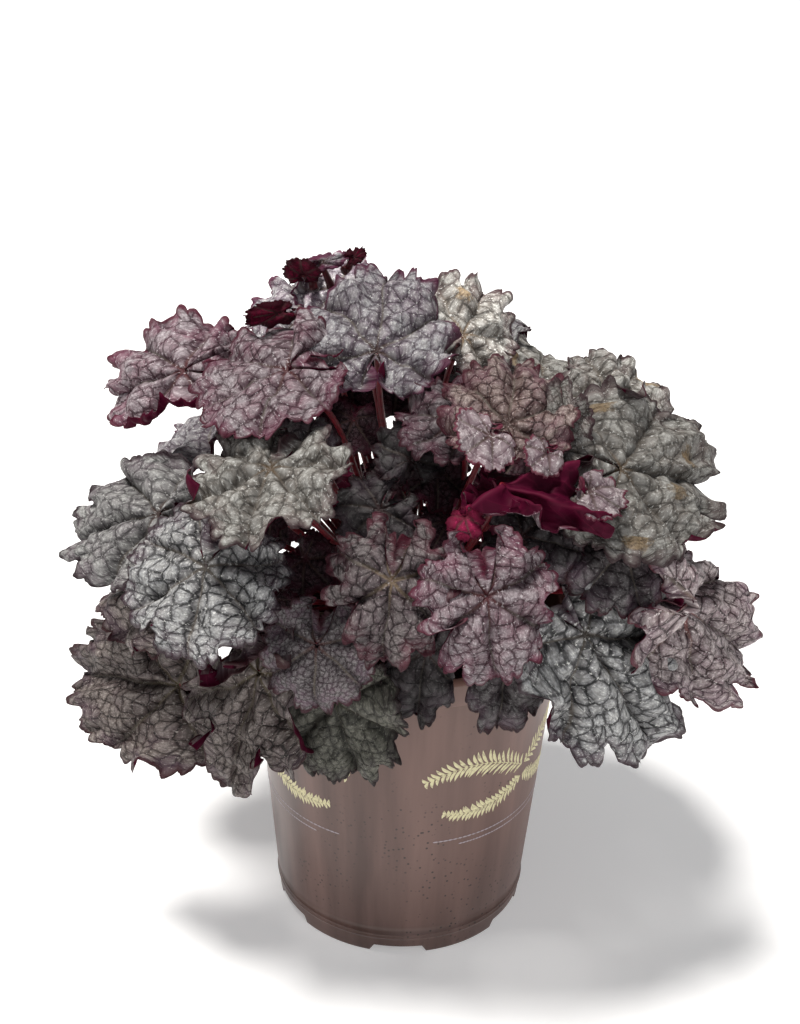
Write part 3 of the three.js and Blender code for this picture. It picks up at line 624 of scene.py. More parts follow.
def leafUpper(name, look):
    # Waxy upper skin of a leaf. Silver bloom lies on the cushions between the veins, and the dark maroon
    # tissue shows along the net, the margin and the hub. Painted shade darkens the valleys beside the main
    # veins and round each cushion, and painted highlights lie on the cushions' crests and in small glints.
    # Vein widths are drawn a little wider than life to show.
    material, tree = newMaterial(name)
    reach, main, side, cell, net, cut = veinNodes(tree)
    edge = add(tree, "Attribute", output="Fac", attribute_name="edge")
    blotch = add(tree, "TexNoise", {"Vector": net, "Scale": 0.55, "Detail": 3.0, "Roughness": 0.6},
                 noise_dimensions="2D")
    mottle = add(tree, "TexNoise", {"Vector": net, "Scale": 2.6, "Detail": 4.0, "Roughness": 0.65},
                 noise_dimensions="2D")
    where = add(tree, "MapRange", {"Value": blotch, "From Min": 0.4, "From Max": 0.62})
    bloom = add(tree, "Mix", {"Factor": where, "A": linear(look["silver"]), "B": linear(look["tint"])},
                output=2, data_type="RGBA")
    flecks = add(tree, "TexNoise", {"Vector": net, "Scale": 4.5, "Detail": 5.0, "Roughness": 0.75},
                 noise_dimensions="2D")
    patch = add(tree, "MapRange", {"Value": mottle, "From Min": 0.35, "From Max": 0.7,
                                   "To Min": 0.35, "To Max": 0.0})
    worn = add(tree, "MapRange", {"Value": flecks, "From Min": 0.4, "From Max": 0.54, "To Min": 0.75,
                                  "To Max": 0.0})
    # veins: 0 on the line, 1 on the cushion
    mainLine = add(tree, "MapRange", {"Value": main, "From Min": 0.1, "From Max": 0.9},
                   interpolation_type="SMOOTHSTEP")
    sideLine = add(tree, "MapRange", {"Value": side, "From Min": 0.08, "From Max": 0.55, "To Min": 0.2},
                   interpolation_type="SMOOTHSTEP")
    # the lines wobble, and widen into dark patches where the bloom is thin
    thin = add(tree, "TexNoise", {"Vector": net, "Scale": 0.22, "Detail": 2.0}, noise_dimensions="2D")
    zone = add(tree, "MapRange", {"Value": thin, "From Min": 0.45, "From Max": 0.75, "To Max": -0.35})
    wobble = add(tree, "Math", {0: mottle, 1: 0.7, 2: -0.35}, operation="MULTIPLY_ADD")
    wobble = add(tree, "Math", {0: wobble, 1: zone}, operation="ADD")
    cellOff = add(tree, "Math", {0: cell, 1: wobble}, operation="ADD")
    faint = add(tree, "MapRange", {"Value": blotch, "From Min": 0.35, "From Max": 0.62, "To Min": 0.35,
                                   "To Max": 0.0})
    cellLine = add(tree, "MapRange", {"Value": cellOff, "From Min": 0.12, "From Max": look["line"],
                                      "To Min": faint},
                   interpolation_type="SMOOTHSTEP")
    netLines = add(tree, "Math", {0: sideLine, 1: cellLine}, operation="MULTIPLY")
    # the finest veins, in every cell
    fineNet = add(tree, "TexVoronoi", {"Vector": cut, "Scale": 2.6, "Randomness": 1.0}, output="Distance",
                  voronoi_dimensions="2D", feature="DISTANCE_TO_EDGE")
    fineLine = add(tree, "MapRange", {"Value": fineNet, "From Min": 0.0, "From Max": 0.17, "To Min": 0.66})
    netLines = add(tree, "Math", {0: netLines, 1: fineLine}, operation="MULTIPLY")
    # darker on both sides of the main veins: painted shade deepening their valleys, and the dark tissue that
    # shows there
    beside = add(tree, "MapRange", {"Value": main, "From Min": 0.5, "From Max": 5.0, "To Min": 0.7,
                                    "To Max": 0.0},
                 interpolation_type="SMOOTHSTEP")
    # painted shade round the edge of every cushion, where it dips into the net's valleys
    creaseShade = add(tree, "MapRange", {"Value": cellOff, "From Min": 0.0, "From Max": 1.5, "To Min": 0.3,
                                  "To Max": 0.0},
               interpolation_type="SMOOTHSTEP")
    tone = add(tree, "TexVoronoi", {"Vector": cut, "Scale": 1.0, "Randomness": leafForm["netRandomness"]},
               output="Color",
               voronoi_dimensions="2D", feature="F1")
    dull = add(tree, "MapRange", {"Value": tone, "To Min": 0.0, "To Max": 0.45})
    # painted highlight on the crest of every cushion
    top = add(tree, "MapRange", {"Value": cellOff, "From Min": 0.9, "From Max": 2.2, "To Max": 0.22},
              interpolation_type="SMOOTHSTEP")
    netStrength = add(tree, "MapRange", {"Value": netLines, "To Min": look["contrast"], "To Max": 0.0})
    mainStrength = add(tree, "MapRange", {"Value": mainLine, "To Min": 0.7, "To Max": 0.0})
    # crimson at the hub, along the first stretch of the main veins
    hubHeat = add(tree, "MapRange", {"Value": reach, "From Min": 2.0, "From Max": look["hubReach"],
                                     "To Min": 1.0, "To Max": 0.0})
    onMain = add(tree, "MapRange", {"Value": main, "From Min": 0.3, "From Max": 1.0, "To Min": 0.8,
                                    "To Max": 0.0})
    hubMask = add(tree, "Math", {0: hubHeat, 1: onMain}, operation="MULTIPLY")
    # the bloom turns to lilac towards the margin, and small light specks are painted glints
    near = add(tree, "MapRange", {"Value": edge, "From Min": 3.0, "From Max": 15.0, "To Min": look["flushed"],
                                  "To Max": 0.0})
    near = add(tree, "Math", {0: near, 1: where}, operation="MULTIPLY")
    paintedGlint = add(tree, "MapRange", {"Value": flecks, "From Min": 0.59, "From Max": 0.67, "To Max": 0.9})
    # dark margin, wider where the blotches say
    bandEnd = add(tree, "MapRange", {"Value": blotch, "From Min": 0.35, "From Max": 0.65,
                                     "To Min": 2.2, "To Max": look["margin"]})
    band = add(tree, "MapRange", {"Value": edge, "From Min": 0.7, "From Max": bandEnd, "To Min": 1.0,
                                  "To Max": 0.0},
               interpolation_type="SMOOTHSTEP")
    band = add(tree, "Math", {0: band, 1: 0.9}, operation="MULTIPLY")
    # the layers over the bloom, from the lowest up, painted shade and painted highlights among them
    skin = bloom
    for factor, over in ((patch, "shade"), (worn, "shade"), (beside, "shade"), (creaseShade, "shade"),
                         (dull, "shade"),
                         (top, "top"), (netStrength, "vein"), (mainStrength, "main"), (hubMask, "hub"),
                         (near, "flush"), (paintedGlint, "top"), (band, "rim")):
        skin = add(tree, "Mix", {"Factor": factor, "A": skin, "B": linear(look[over])}, output=2,
                   data_type="RGBA")
    # dry tan spots
    if look["spots"]:
        drop = add(tree, "TexVoronoi", {"Vector": net, "Scale": 0.33}, voronoi_dimensions="2D", feature="F1")
        ragged = add(tree, "Math", {0: mottle, 1: 0.35, 2: drop}, operation="MULTIPLY_ADD")
        pick = drop.node.outputs["Color"]
        chosen = add(tree, "MapRange", {"Value": pick, "From Min": 1 - look["spots"],
                                        "From Max": 1.02 - look["spots"]})
        dot = add(tree, "MapRange", {"Value": ragged, "From Min": 0.34, "From Max": 0.46,
                                     "To Min": 0.85, "To Max": 0.0})
        dot = add(tree, "Math", {0: dot, 1: chosen}, operation="MULTIPLY")
        dry = add(tree, "Mix", {"Factor": worn, "A": linear("#8d785a"), "B": linear("#4a3828")},
                  output=2, data_type="RGBA")
        skin = add(tree, "Mix", {"Factor": dot, "A": skin, "B": dry}, output=2, data_type="RGBA")
    # each leaf's own tone, scaled with the painted shade and light of its place in the clump
    toneAndLight = add(tree, "Attribute", output="Fac", attribute_name="toneAndPaintedLight")
    skin = add(tree, "VectorMath", {0: skin, "Scale": toneAndLight}, operation="SCALE")
    # relief too fine for the mesh: the lines again, and the leathery grain
    grain = add(tree, "TexNoise", {"Vector": net, "Scale": 9.0, "Detail": 3.0}, noise_dimensions="2D")
    swell = add(tree, "MapRange", {"Value": cellOff, "From Min": 0.0, "From Max": 0.6,
                                   "To Max": look["relief"]},
                interpolation_type="SMOOTHSTEP")
    height = add(tree, "Math", {0: flecks, 1: 0.3, 2: swell}, operation="MULTIPLY_ADD")
    height = add(tree, "Math", {0: grain, 1: 0.1, 2: height}, operation="MULTIPLY_ADD")
    height = add(tree, "Math", {0: sideLine, 1: 0.15, 2: height}, operation="MULTIPLY_ADD")
    bump = add(tree, "Bump", {"Height": height, "Strength": 1.0, "Distance": mm})
    gloss = add(tree, "MapRange", {"Value": flecks, "From Min": 0.35, "From Max": 0.65,
                                   "To Min": 0.3, "To Max": 0.6})
    surface = add(tree, "BsdfPrincipled", {"Base Color": skin, "Roughness": gloss, "Normal": bump,
                                           "IOR": 1.42,
                                           "Specular IOR Level": look["specular"]})
    finishMaterial(tree, surface)
    return material


def leafUnder():
    # under skin of a leaf: thin, smooth and deep crimson, with the net standing out a little paler
    material, tree = newMaterial("crimsonUnderskin")
    _, main, side, cell, net, _ = veinNodes(tree)
    cloud = add(tree, "TexNoise", {"Vector": net, "Scale": 0.8, "Detail": 3.0}, noise_dimensions="2D")
    base = add(tree, "Mix", {"Factor": cloud, "A": linear("#2a0214"), "B": linear("#4c0624")}, output=2,
               data_type="RGBA")
    mainLine = add(tree, "MapRange", {"Value": main, "From Min": 0.2, "From Max": 1.0, "To Min": 0.8,
                                      "To Max": 0.0})
    sideLine = add(tree, "MapRange", {"Value": side, "From Min": 0.1, "From Max": 0.6, "To Min": 0.5,
                                      "To Max": 0.0})
    cellLine = add(tree, "MapRange", {"Value": cell, "From Min": 0.0, "From Max": 0.5, "To Min": 0.3,
                                      "To Max": 0.0})
    lines = add(tree, "Math", {0: mainLine, 1: sideLine}, operation="MAXIMUM")
    lines = add(tree, "Math", {0: lines, 1: cellLine}, operation="MAXIMUM")
    skin = add(tree, "Mix", {"Factor": lines, "A": base, "B": linear("#531029")}, output=2, data_type="RGBA")
    bump = add(tree, "Bump", {"Height": lines, "Strength": 0.3, "Distance": 0.0005})
    surface = add(tree, "BsdfPrincipled", {"Base Color": skin, "Roughness": 0.6, "Normal": bump, "IOR": 1.35,
                                           "Specular IOR Level": 0.12})
    finishMaterial(tree, surface)
    return material


def stalkSkin():
    # leaf stalk: fleshy and crimson, ribbed along its length, darker towards its foot
    material, tree = newMaterial("crimsonStalk")
    flat = add(tree, "UVMap", uv_map="veins")
    x = add(tree, "SeparateXYZ", {0: flat})
    y = x.node.outputs[1]
    ribs = add(tree, "Math", {0: x, 1: 6.0}, operation="MULTIPLY")
    ribs = add(tree, "Math", {0: ribs}, operation="SINE")
    noise = add(tree, "TexNoise", {"Vector": flat, "Scale": 0.5, "Detail": 3.0}, noise_dimensions="2D")
    fromFoot = add(tree, "MapRange", {"Value": y, "From Min": 0.0, "From Max": 60.0})
    colour = add(tree, "Mix", {"Factor": fromFoot, "A": linear("#3a0a10"), "B": linear("#851b28")}, output=2,
                 data_type="RGBA")
    colour = add(tree, "Mix", {"Factor": noise, "A": colour, "B": linear("#450e18")}, output=2,
                 data_type="RGBA")
    bump = add(tree, "Bump", {"Height": ribs, "Strength": 0.15, "Distance": 0.0003})
    surface = add(tree, "BsdfPrincipled", {"Base Color": colour, "Roughness": 0.38, "Normal": bump,
                                           "IOR": 1.4})
    finishMaterial(tree, surface)
    return material


# Looks of the upper skin. line: width of the net's lines; contrast: how dark they are; margin: width of the
# dark edge; spots: share of places with a dry spot; top: colour of the painted highlights and glints; shade:
# colour of the mottle and of the painted shade by the veins and round the cushions.
plainLook = {"silver": "#bdbdba", "tint": "#a19b9d", "shade": "#565354", "vein": "#1c1819", "rim": "#26101a",
             "main": "#5c554d",
             "hub": "#3a2422", "hubReach": 10, "line": 0.5, "contrast": 0.95, "margin": 5, "spots": 0,
             "relief": 0.2,
             "flush": "#5e4956", "flushed": 0.5, "top": "#d6d6d2", "specular": 0.3}
looks = {
    "silverBloom": {"contrast": 0.6},
    "blueSilver": {"silver": "#b4b6b7", "tint": "#929496", "vein": "#1b1c1d", "rim": "#2c1a22", "line": 0.7,
                   "hub": "#38332e"},
    "lilacSilver": {"silver": "#b3b3b6", "tint": "#978b95", "shade": "#544a52", "vein": "#271a22",
                    "rim": "#4a1230",
                    "margin": 6, "contrast": 0.65},
    "pinkSilver": {"top": "#d6cdd0", "silver": "#bfb5b9", "tint": "#a5858f", "shade": "#5a444c",
                   "vein": "#30141e", "rim": "#520f28",
                   "margin": 4, "hub": "#50121f", "hubReach": 16, "flush": "#744055", "flushed": 0.7,
                   "line": 0.42, "contrast": 0.9},
    "foldedSilver": {"top": "#d2cbcb", "silver": "#c0b6b7", "tint": "#a89b9f", "shade": "#6c5d62",
                     "vein": "#3a282e",
                     "rim": "#5a1c30", "margin": 1.5, "flush": "#8c747c", "flushed": 0.4, "contrast": 0.7,
                     "line": 0.4,
                     "specular": 0.12},
    "oliveSilver": {"silver": "#b5b4ae", "tint": "#979089", "shade": "#5a5550", "vein": "#211d1a",
                    "rim": "#321a20",
                    "hub": "#5b4a37", "spots": 0.3, "flush": "#6a585a", "flushed": 0.5, "contrast": 0.6},
    "mauveGrey": {"top": "#b9b1b0", "silver": "#a39a99", "tint": "#86777c", "shade": "#48393b",
                  "vein": "#1c1012", "rim": "#3c0f1c",
                  "hub": "#5c1620", "hubReach": 24},
    "tanMauve": {"top": "#aca4a3", "silver": "#98908f", "tint": "#7f6f75", "shade": "#443639",
                 "vein": "#1c1012", "rim": "#430c1e",
                 "hub": "#84705a", "hubReach": 16, "flush": "#64323f", "flushed": 0.9},
    "brownPink": {"top": "#b9aaa6", "silver": "#a3948f", "tint": "#8d757a", "shade": "#523c38",
                  "vein": "#261113", "rim": "#430c1e",
                  "hub": "#3a2320", "flush": "#6d4752", "flushed": 0.7},
    "youngCrimson": {"top": "#a82a58", "silver": "#962049", "tint": "#84183e", "shade": "#5a0d2a",
                     "vein": "#3a0618", "rim": "#4a0820",
                     "hub": "#3a0616", "flush": "#7a1438", "contrast": 0.5, "specular": 0.12},
    "crimsonFold": {"top": "#7e0a38", "silver": "#6c082e", "tint": "#580624", "shade": "#380314",
                    "vein": "#22030e", "rim": "#2a0410",
                    "hub": "#22030e", "flush": "#4a0820", "contrast": 0.5, "specular": 0.1},
    "bronzeGrey": {"top": "#a59d98", "silver": "#8f8681", "tint": "#716566", "shade": "#3c302d",
                   "vein": "#17100e", "rim": "#300c13",
                   "hub": "#544a38", "hubReach": 36},
    "mossGrey": {"top": "#c2c1b2", "silver": "#aaa899", "tint": "#8c8a7f", "shade": "#504f48",
                 "vein": "#24241f",
                 "rim": "#321a20", "hub": "#5b5a44", "contrast": 0.5, "flushed": 0.3},
    # the young leaves' maroon, darkened with painted shade for the clump's inside
    "maroonInPaintedShade": {"top": "#6f5d63", "silver": "#5c4b51", "tint": "#4c333b", "shade": "#281a1e",
                   "vein": "#0e0709",
                   "rim": "#3c0a1c", "hub": "#330d15", "flush": "#45182a", "flushed": 0.8, "specular": 0.15},
    # the grey bloom darkened with painted shade, for leaves that lie in the clump's shade
    "greyInPaintedShade": {"top": "#858282", "silver": "#6f6c6c", "tint": "#554a50", "shade": "#2c2427",
                  "vein": "#0f0a0c", "rim": "#2a0812",
                  "hub": "#330d15", "contrast": 0.6},
}
leavesOf = {"greyInPaintedShade": (1, 2, 6, 8, 16, 17, 18, 19, 20), "mossGrey": (3,), "bronzeGrey": (4, 5, 21),
            "blueSilver": (7, 23), "mauveGrey": (9,), "silverBloom": (22,), "tanMauve": (24,),
            "pinkSilver": (25, 34, 35, 45, 46), "oliveSilver": (26, 32, 33, 41), "brownPink": (36,),
            "lilacSilver": (42, 43, 44)}
kindOf = {number: kind for kind, numbers in leavesOf.items() for number in numbers}
otherKinds = ("silverBloom", "lilacSilver", "oliveSilver", "blueSilver", "mauveGrey")  # for the back, in turn
# How pale a leaf is beside others of its kind. Most of these were worked out by a scratch program.
# Beside the leaf's own tone these carry painted shade and light: low where a leaf lies in the clump's shade,
# high where the lights leave a leaf too dark.
toneAndPaintedLight = {1: 0.43, 2: 0.86, 3: 0.42, 4: 0.95, 5: 0.95, 6: 1.68, 7: 1.17, 8: 1.21, 9: 1.67, 16: 0.45,
            18: 0.43, 21: 1.4, 22: 0.84, 23: 1.16, 24: 0.69, 25: 0.76, 26: 0.86, 32: 1.17, 33: 0.7, 34: 1,
            35: 0.4, 36: 0.92, 41: 1.98, 42: 1.65, 43: 2.2, 44: 0.98, 45: 0.97, 46: 0.76}
upperSkins = {name: leafUpper(name, {**plainLook, **look}) for name, look in looks.items()}
underSkin = leafUnder()
stalkMaterial = stalkSkin()

# What is particular to one leaf. filling: how far the gaps between its lobes close; lobing: how deep they
# cut; cell: size of the net's cells in mm; relief: how high they stand; trims: direction from the tip and
# half width in degrees, then share taken off, a negative share adding to the leaf; rolls: direction, half
# width, then width and radius of the rolled margin in mm; sag: how far the tip hangs down, in mm.
shapes = {
    1: {"trims": [(80, 60, 0.5), (-80, 50, 0.35), (0, 30, -0.1)]},
    2: {"trims": [(90, 45, 0.2), (-80, 60, 0.5), (0, 40, -0.15)]},
    3: {"lobing": 0.05, "cell": 5},
    4: {"filling": 0.6, "lobing": 0, "cell": 6.6, "relief": 0.6, "trims": [(180, 75, 0.6), (0, 26, -0.12)]},
    5: {"filling": 0, "lobing": 0.5, "cell": 6.6, "relief": 0.6,
        "trims": [(-98, 34, 0.85), (-140, 42, 0.8), (-36, 12, 0.35), (120, 40, 0.3), (0, 26, -0.16)]},
    6: {"filling": 0.3, "cell": 2.8, "relief": 0.7},
    7: {"filling": 0.3, "lobing": 0.1, "cell": 8, "trims": [(8, 34, -0.16), (-40, 26, -0.08)]},
    9: {"lobing": 0.1, "filling": 0.4, "relief": 0.6, "trims": [(75, 50, 0.25), (-75, 45, 0.2),
                                                                (-5, 24, -0.1)],
        "rolls": [(-12, 14, 8, 3)], "sag": 8},
    23: {"lobing": 0.18},
    24: {"filling": 0, "lobing": 0.16, "cell": 6, "relief": 0.7, "trims": [(-52, 17, 0.55), (52, 12, 0.25)]},
    25: {"filling": 0.1, "lobing": 0.12, "cell": 6.4, "trims": [(-58, 17, 0.62), (-27, 12, 0.2),
                                                                (60, 40, 0.15)]},
    26: {"filling": 0.1, "lobing": 0.16, "cell": 7.5, "rolls": [(-62, 20, 9, 3)]},
    33: {"filling": 0.7, "lobing": 0.04, "cell": 7.5, "rolls": [(-45, 30, 8, 4)]},
    34: {"filling": 0.9, "sag": 2,
         "trims": [(72, 75, 0.82), (-80, 36, -0.3), (-128, 42, 0.8), (-40, 32, 0.3), (180, 80, 0.9)]},
    36: {"filling": 0.5, "cell": 5.6, "trims": [(180, 75, 0.55)]},
    43: {"filling": 0.8, "rolls": [(30, 70, 14, 4)]},
    44: {"filling": 1, "lobing": 0, "cell": 6.6, "relief": 0.8, "trims": [(180, 42, 0.8)]},
    45: {"filling": 0.8, "lobing": 0.04, "cell": 7.6, "relief": 0.7, "trims": [(122, 48, 0.3)],
         "rolls": [(76, 62, 13, 4)]},
    46: {"filling": 0.7, "lobing": 0.04, "cell": 7.4, "relief": 0.7},
}


def outlineReach(turn, rimReach, filling, lobing, random):
    # Share of the solid's reach in each direction: filled out towards the power mean of the rim nearby, so
    # the lobes are shallower, with scallops and half as wide teeth d (1 - |cos|)^1.5, which have round
    # crests and sharp notches, and a narrow cut exp(-(step/w)^2) where two lobes meet. Lobing takes its
    # share times (angle / 27 degrees)^3 away from the lobes' sides, and exp(-(angle / 10 degrees)^2) blunts
    # their tips.
    f = leafForm
    steps = np.arange(f["scallops"])
    near = steps[:, None] - steps[None, :]
    near = (near + f["scallops"] / 2) % f["scallops"] - f["scallops"] / 2
    weight = np.exp(-(near / 3.5) ** 2)
    weight[near == 0] += 0.01
    even = (np.roll(rimReach, 1) + 2 * rimReach + np.roll(rimReach, -1)) / 4
    filled = ((weight @ even ** 14) / weight.sum(1)) ** (1 / 14)
    atStalk = smooth(2, 6, np.minimum(steps, f["scallops"] - steps))
    filled = even / rimReach * (1 + np.minimum(filling * atStalk * (filled / even - 1), 0.3))
    place = turn * f["scallops"]
    depth = f["scallopDepth"] * (0.5 + random.random(f["scallops"]))
    notch = depth[np.floor(place).astype(int) % f["scallops"]] * (1 - np.abs(np.cos(np.pi * place))) ** 1.5
    depth = f["toothDepth"] * (0.4 + 1.2 * random.random(2 * f["scallops"]))
    shifted = 2 * place + 0.3 * np.sin(np.pi * place / 5)
    notch += depth[np.floor(shifted).astype(int) % len(depth)] * (1 - np.abs(np.cos(np.pi * shifted))) ** 1.5
    cut = np.zeros(len(turn))
    for lobe in (3, 9, 15):
        for hand in (-1, 1):
            middle = f["scallops"] / 2 + hand * lobe + 0.5 * (random.random() - 0.5)
            cut += f["sinusDepth"] * (0.4 + random.random()) * np.exp(-((place - middle) / 0.45) ** 2)
    half = f["lobeStep"] / 2
    aside = np.abs((turn * 360 - 180 + half) % (2 * half) - half)
    lobed = 1 - lobing * (aside / half) ** 3 - f["blunt"] * np.exp(-(aside / 10) ** 2)
    return around(filled[:, None], turn)[:, 0] * (1.02 - notch - cut) * lobed


def ringPlan(rimCount, rows):
    # how many points each ring has: it doubles three times on the way out, so that all faces are much alike
    shares = (np.arange(1, rows + 1) / rows) ** 0.95
    counts = rimCount // np.select([shares < 0.17, shares < 0.42, shares < 0.85], [8, 4, 2], 1)
    return shares, counts


def bladeFaces(counts, start):
    # faces between neighbouring rings: quads, or where the count doubles three triangles for each inner
    # point
    quads, triangles = [], []
    first = start + 1
    n = counts[0]
    k = np.arange(n)
    triangles.append(np.stack([np.full(n, start), first + k, first + (k + 1) % n], 1))
    for inner, outer in zip(counts[:-1], counts[1:]):
        k = np.arange(inner)
        far = first + inner
        after = (k + 1) % inner
        if inner == outer:
            quads.append(np.stack([first + k, far + k, far + after, first + after], 1))
        else:
            near, middle, last = far + 2 * k, far + 2 * k + 1, far + 2 * after
            triangles.append(np.stack([first + k, near, middle], 1))
            triangles.append(np.stack([first + k, middle, first + after], 1))
            triangles.append(np.stack([first + after, middle, last], 1))
        first = far
    return np.concatenate(quads), np.concatenate(triangles), first


def stalkTube(stalk, hub, up):
    # circle of radius r(t) carried along the smooth line through the stalk's centres; the foot is flared
    f = leafForm
    knots = np.concatenate([[2 * stalk[-1] - stalk[-2]], stalk[:0:-1], [hub - 2.2 * up], [hub + up]])
    t = np.linspace(0, len(knots) - 3 - 1e-6, f["stalkRings"])
    index = np.floor(t).astype(int) + 1
    u = (t - index + 1)[:, None]
    a, b, c, d = (knots[index + k] for k in (-1, 0, 1, 2))
    line = cubic(a, b, c, d, u)
    run = np.concatenate([[0], np.cumsum(np.linalg.norm(np.diff(line, axis=0), axis=1))])
    tangent = np.gradient(line, axis=0)
    tangent /= np.linalg.norm(tangent, axis=1)[:, None]
    side = np.cross(tangent, (0.3, 0.2, 0.9))
    side /= np.linalg.norm(side, axis=1)[:, None]
    other = np.cross(tangent, side)
    radius = f["stalkRadius"] * (1 + 0.5 * np.exp(-run / 7) - 0.12 * run / run[-1])
    angle = np.arange(f["stalkSides"]) / f["stalkSides"] * 2 * np.pi
    ring = np.cos(angle)[None, :, None] * side[:, None] + np.sin(angle)[None, :, None] * other[:, None]
    points = line[:, None] + radius[:, None, None] * ring
    flat = np.stack(np.broadcast_arrays(angle[None, :], run[:, None]), -1)
    return points.reshape(-1, 3), flat.reshape(-1, 2)


def placed(hub, rings, up, tuft):
    # the same blade turned, scaled and moved: its tip direction and face become the tuft's
    def axes(along, face):
        along = along / np.linalg.norm(along)
        face = face - face @ along * along
        face /= np.linalg.norm(face)
        return np.stack([along, np.cross(face, along), face], 1)

    to = np.array(tuft["hub"], float)
    own = axes(rings[2][20] - hub, up)
    new = axes(np.array(tuft["tip"], float) - to, np.array(tuft["face"], float))
    scale = np.linalg.norm(np.array(tuft["tip"]) - to) / np.linalg.norm(rings[2][20] - hub)
    turn = scale * new * (1, tuft.get("width", 1), 1) @ own.T
    rings = [(ring - hub) @ turn.T + to for ring in rings]
    up = new[:, 2]
    foot = np.array(tuft.get("foot", (0.12 * to[0], 0.12 * to[1], 168)), float)
    t = np.linspace(0.04, 1, 5)[:, None]
    bow = to * (1 - t) ** 2 + 2 * t * (1 - t) * (0.45 * to + 0.55 * foot - 8 * up) + foot * t ** 2
    return to, rings, bow, up


def nearTo(direction, centre, half):
    # cos^2 window round a direction in degrees: 1 at its centre, 0 from half its width on
    off = (direction - centre + 180) % 360 - 180
    return np.cos(np.clip(off / half, -1, 1) * np.pi / 2) ** 2


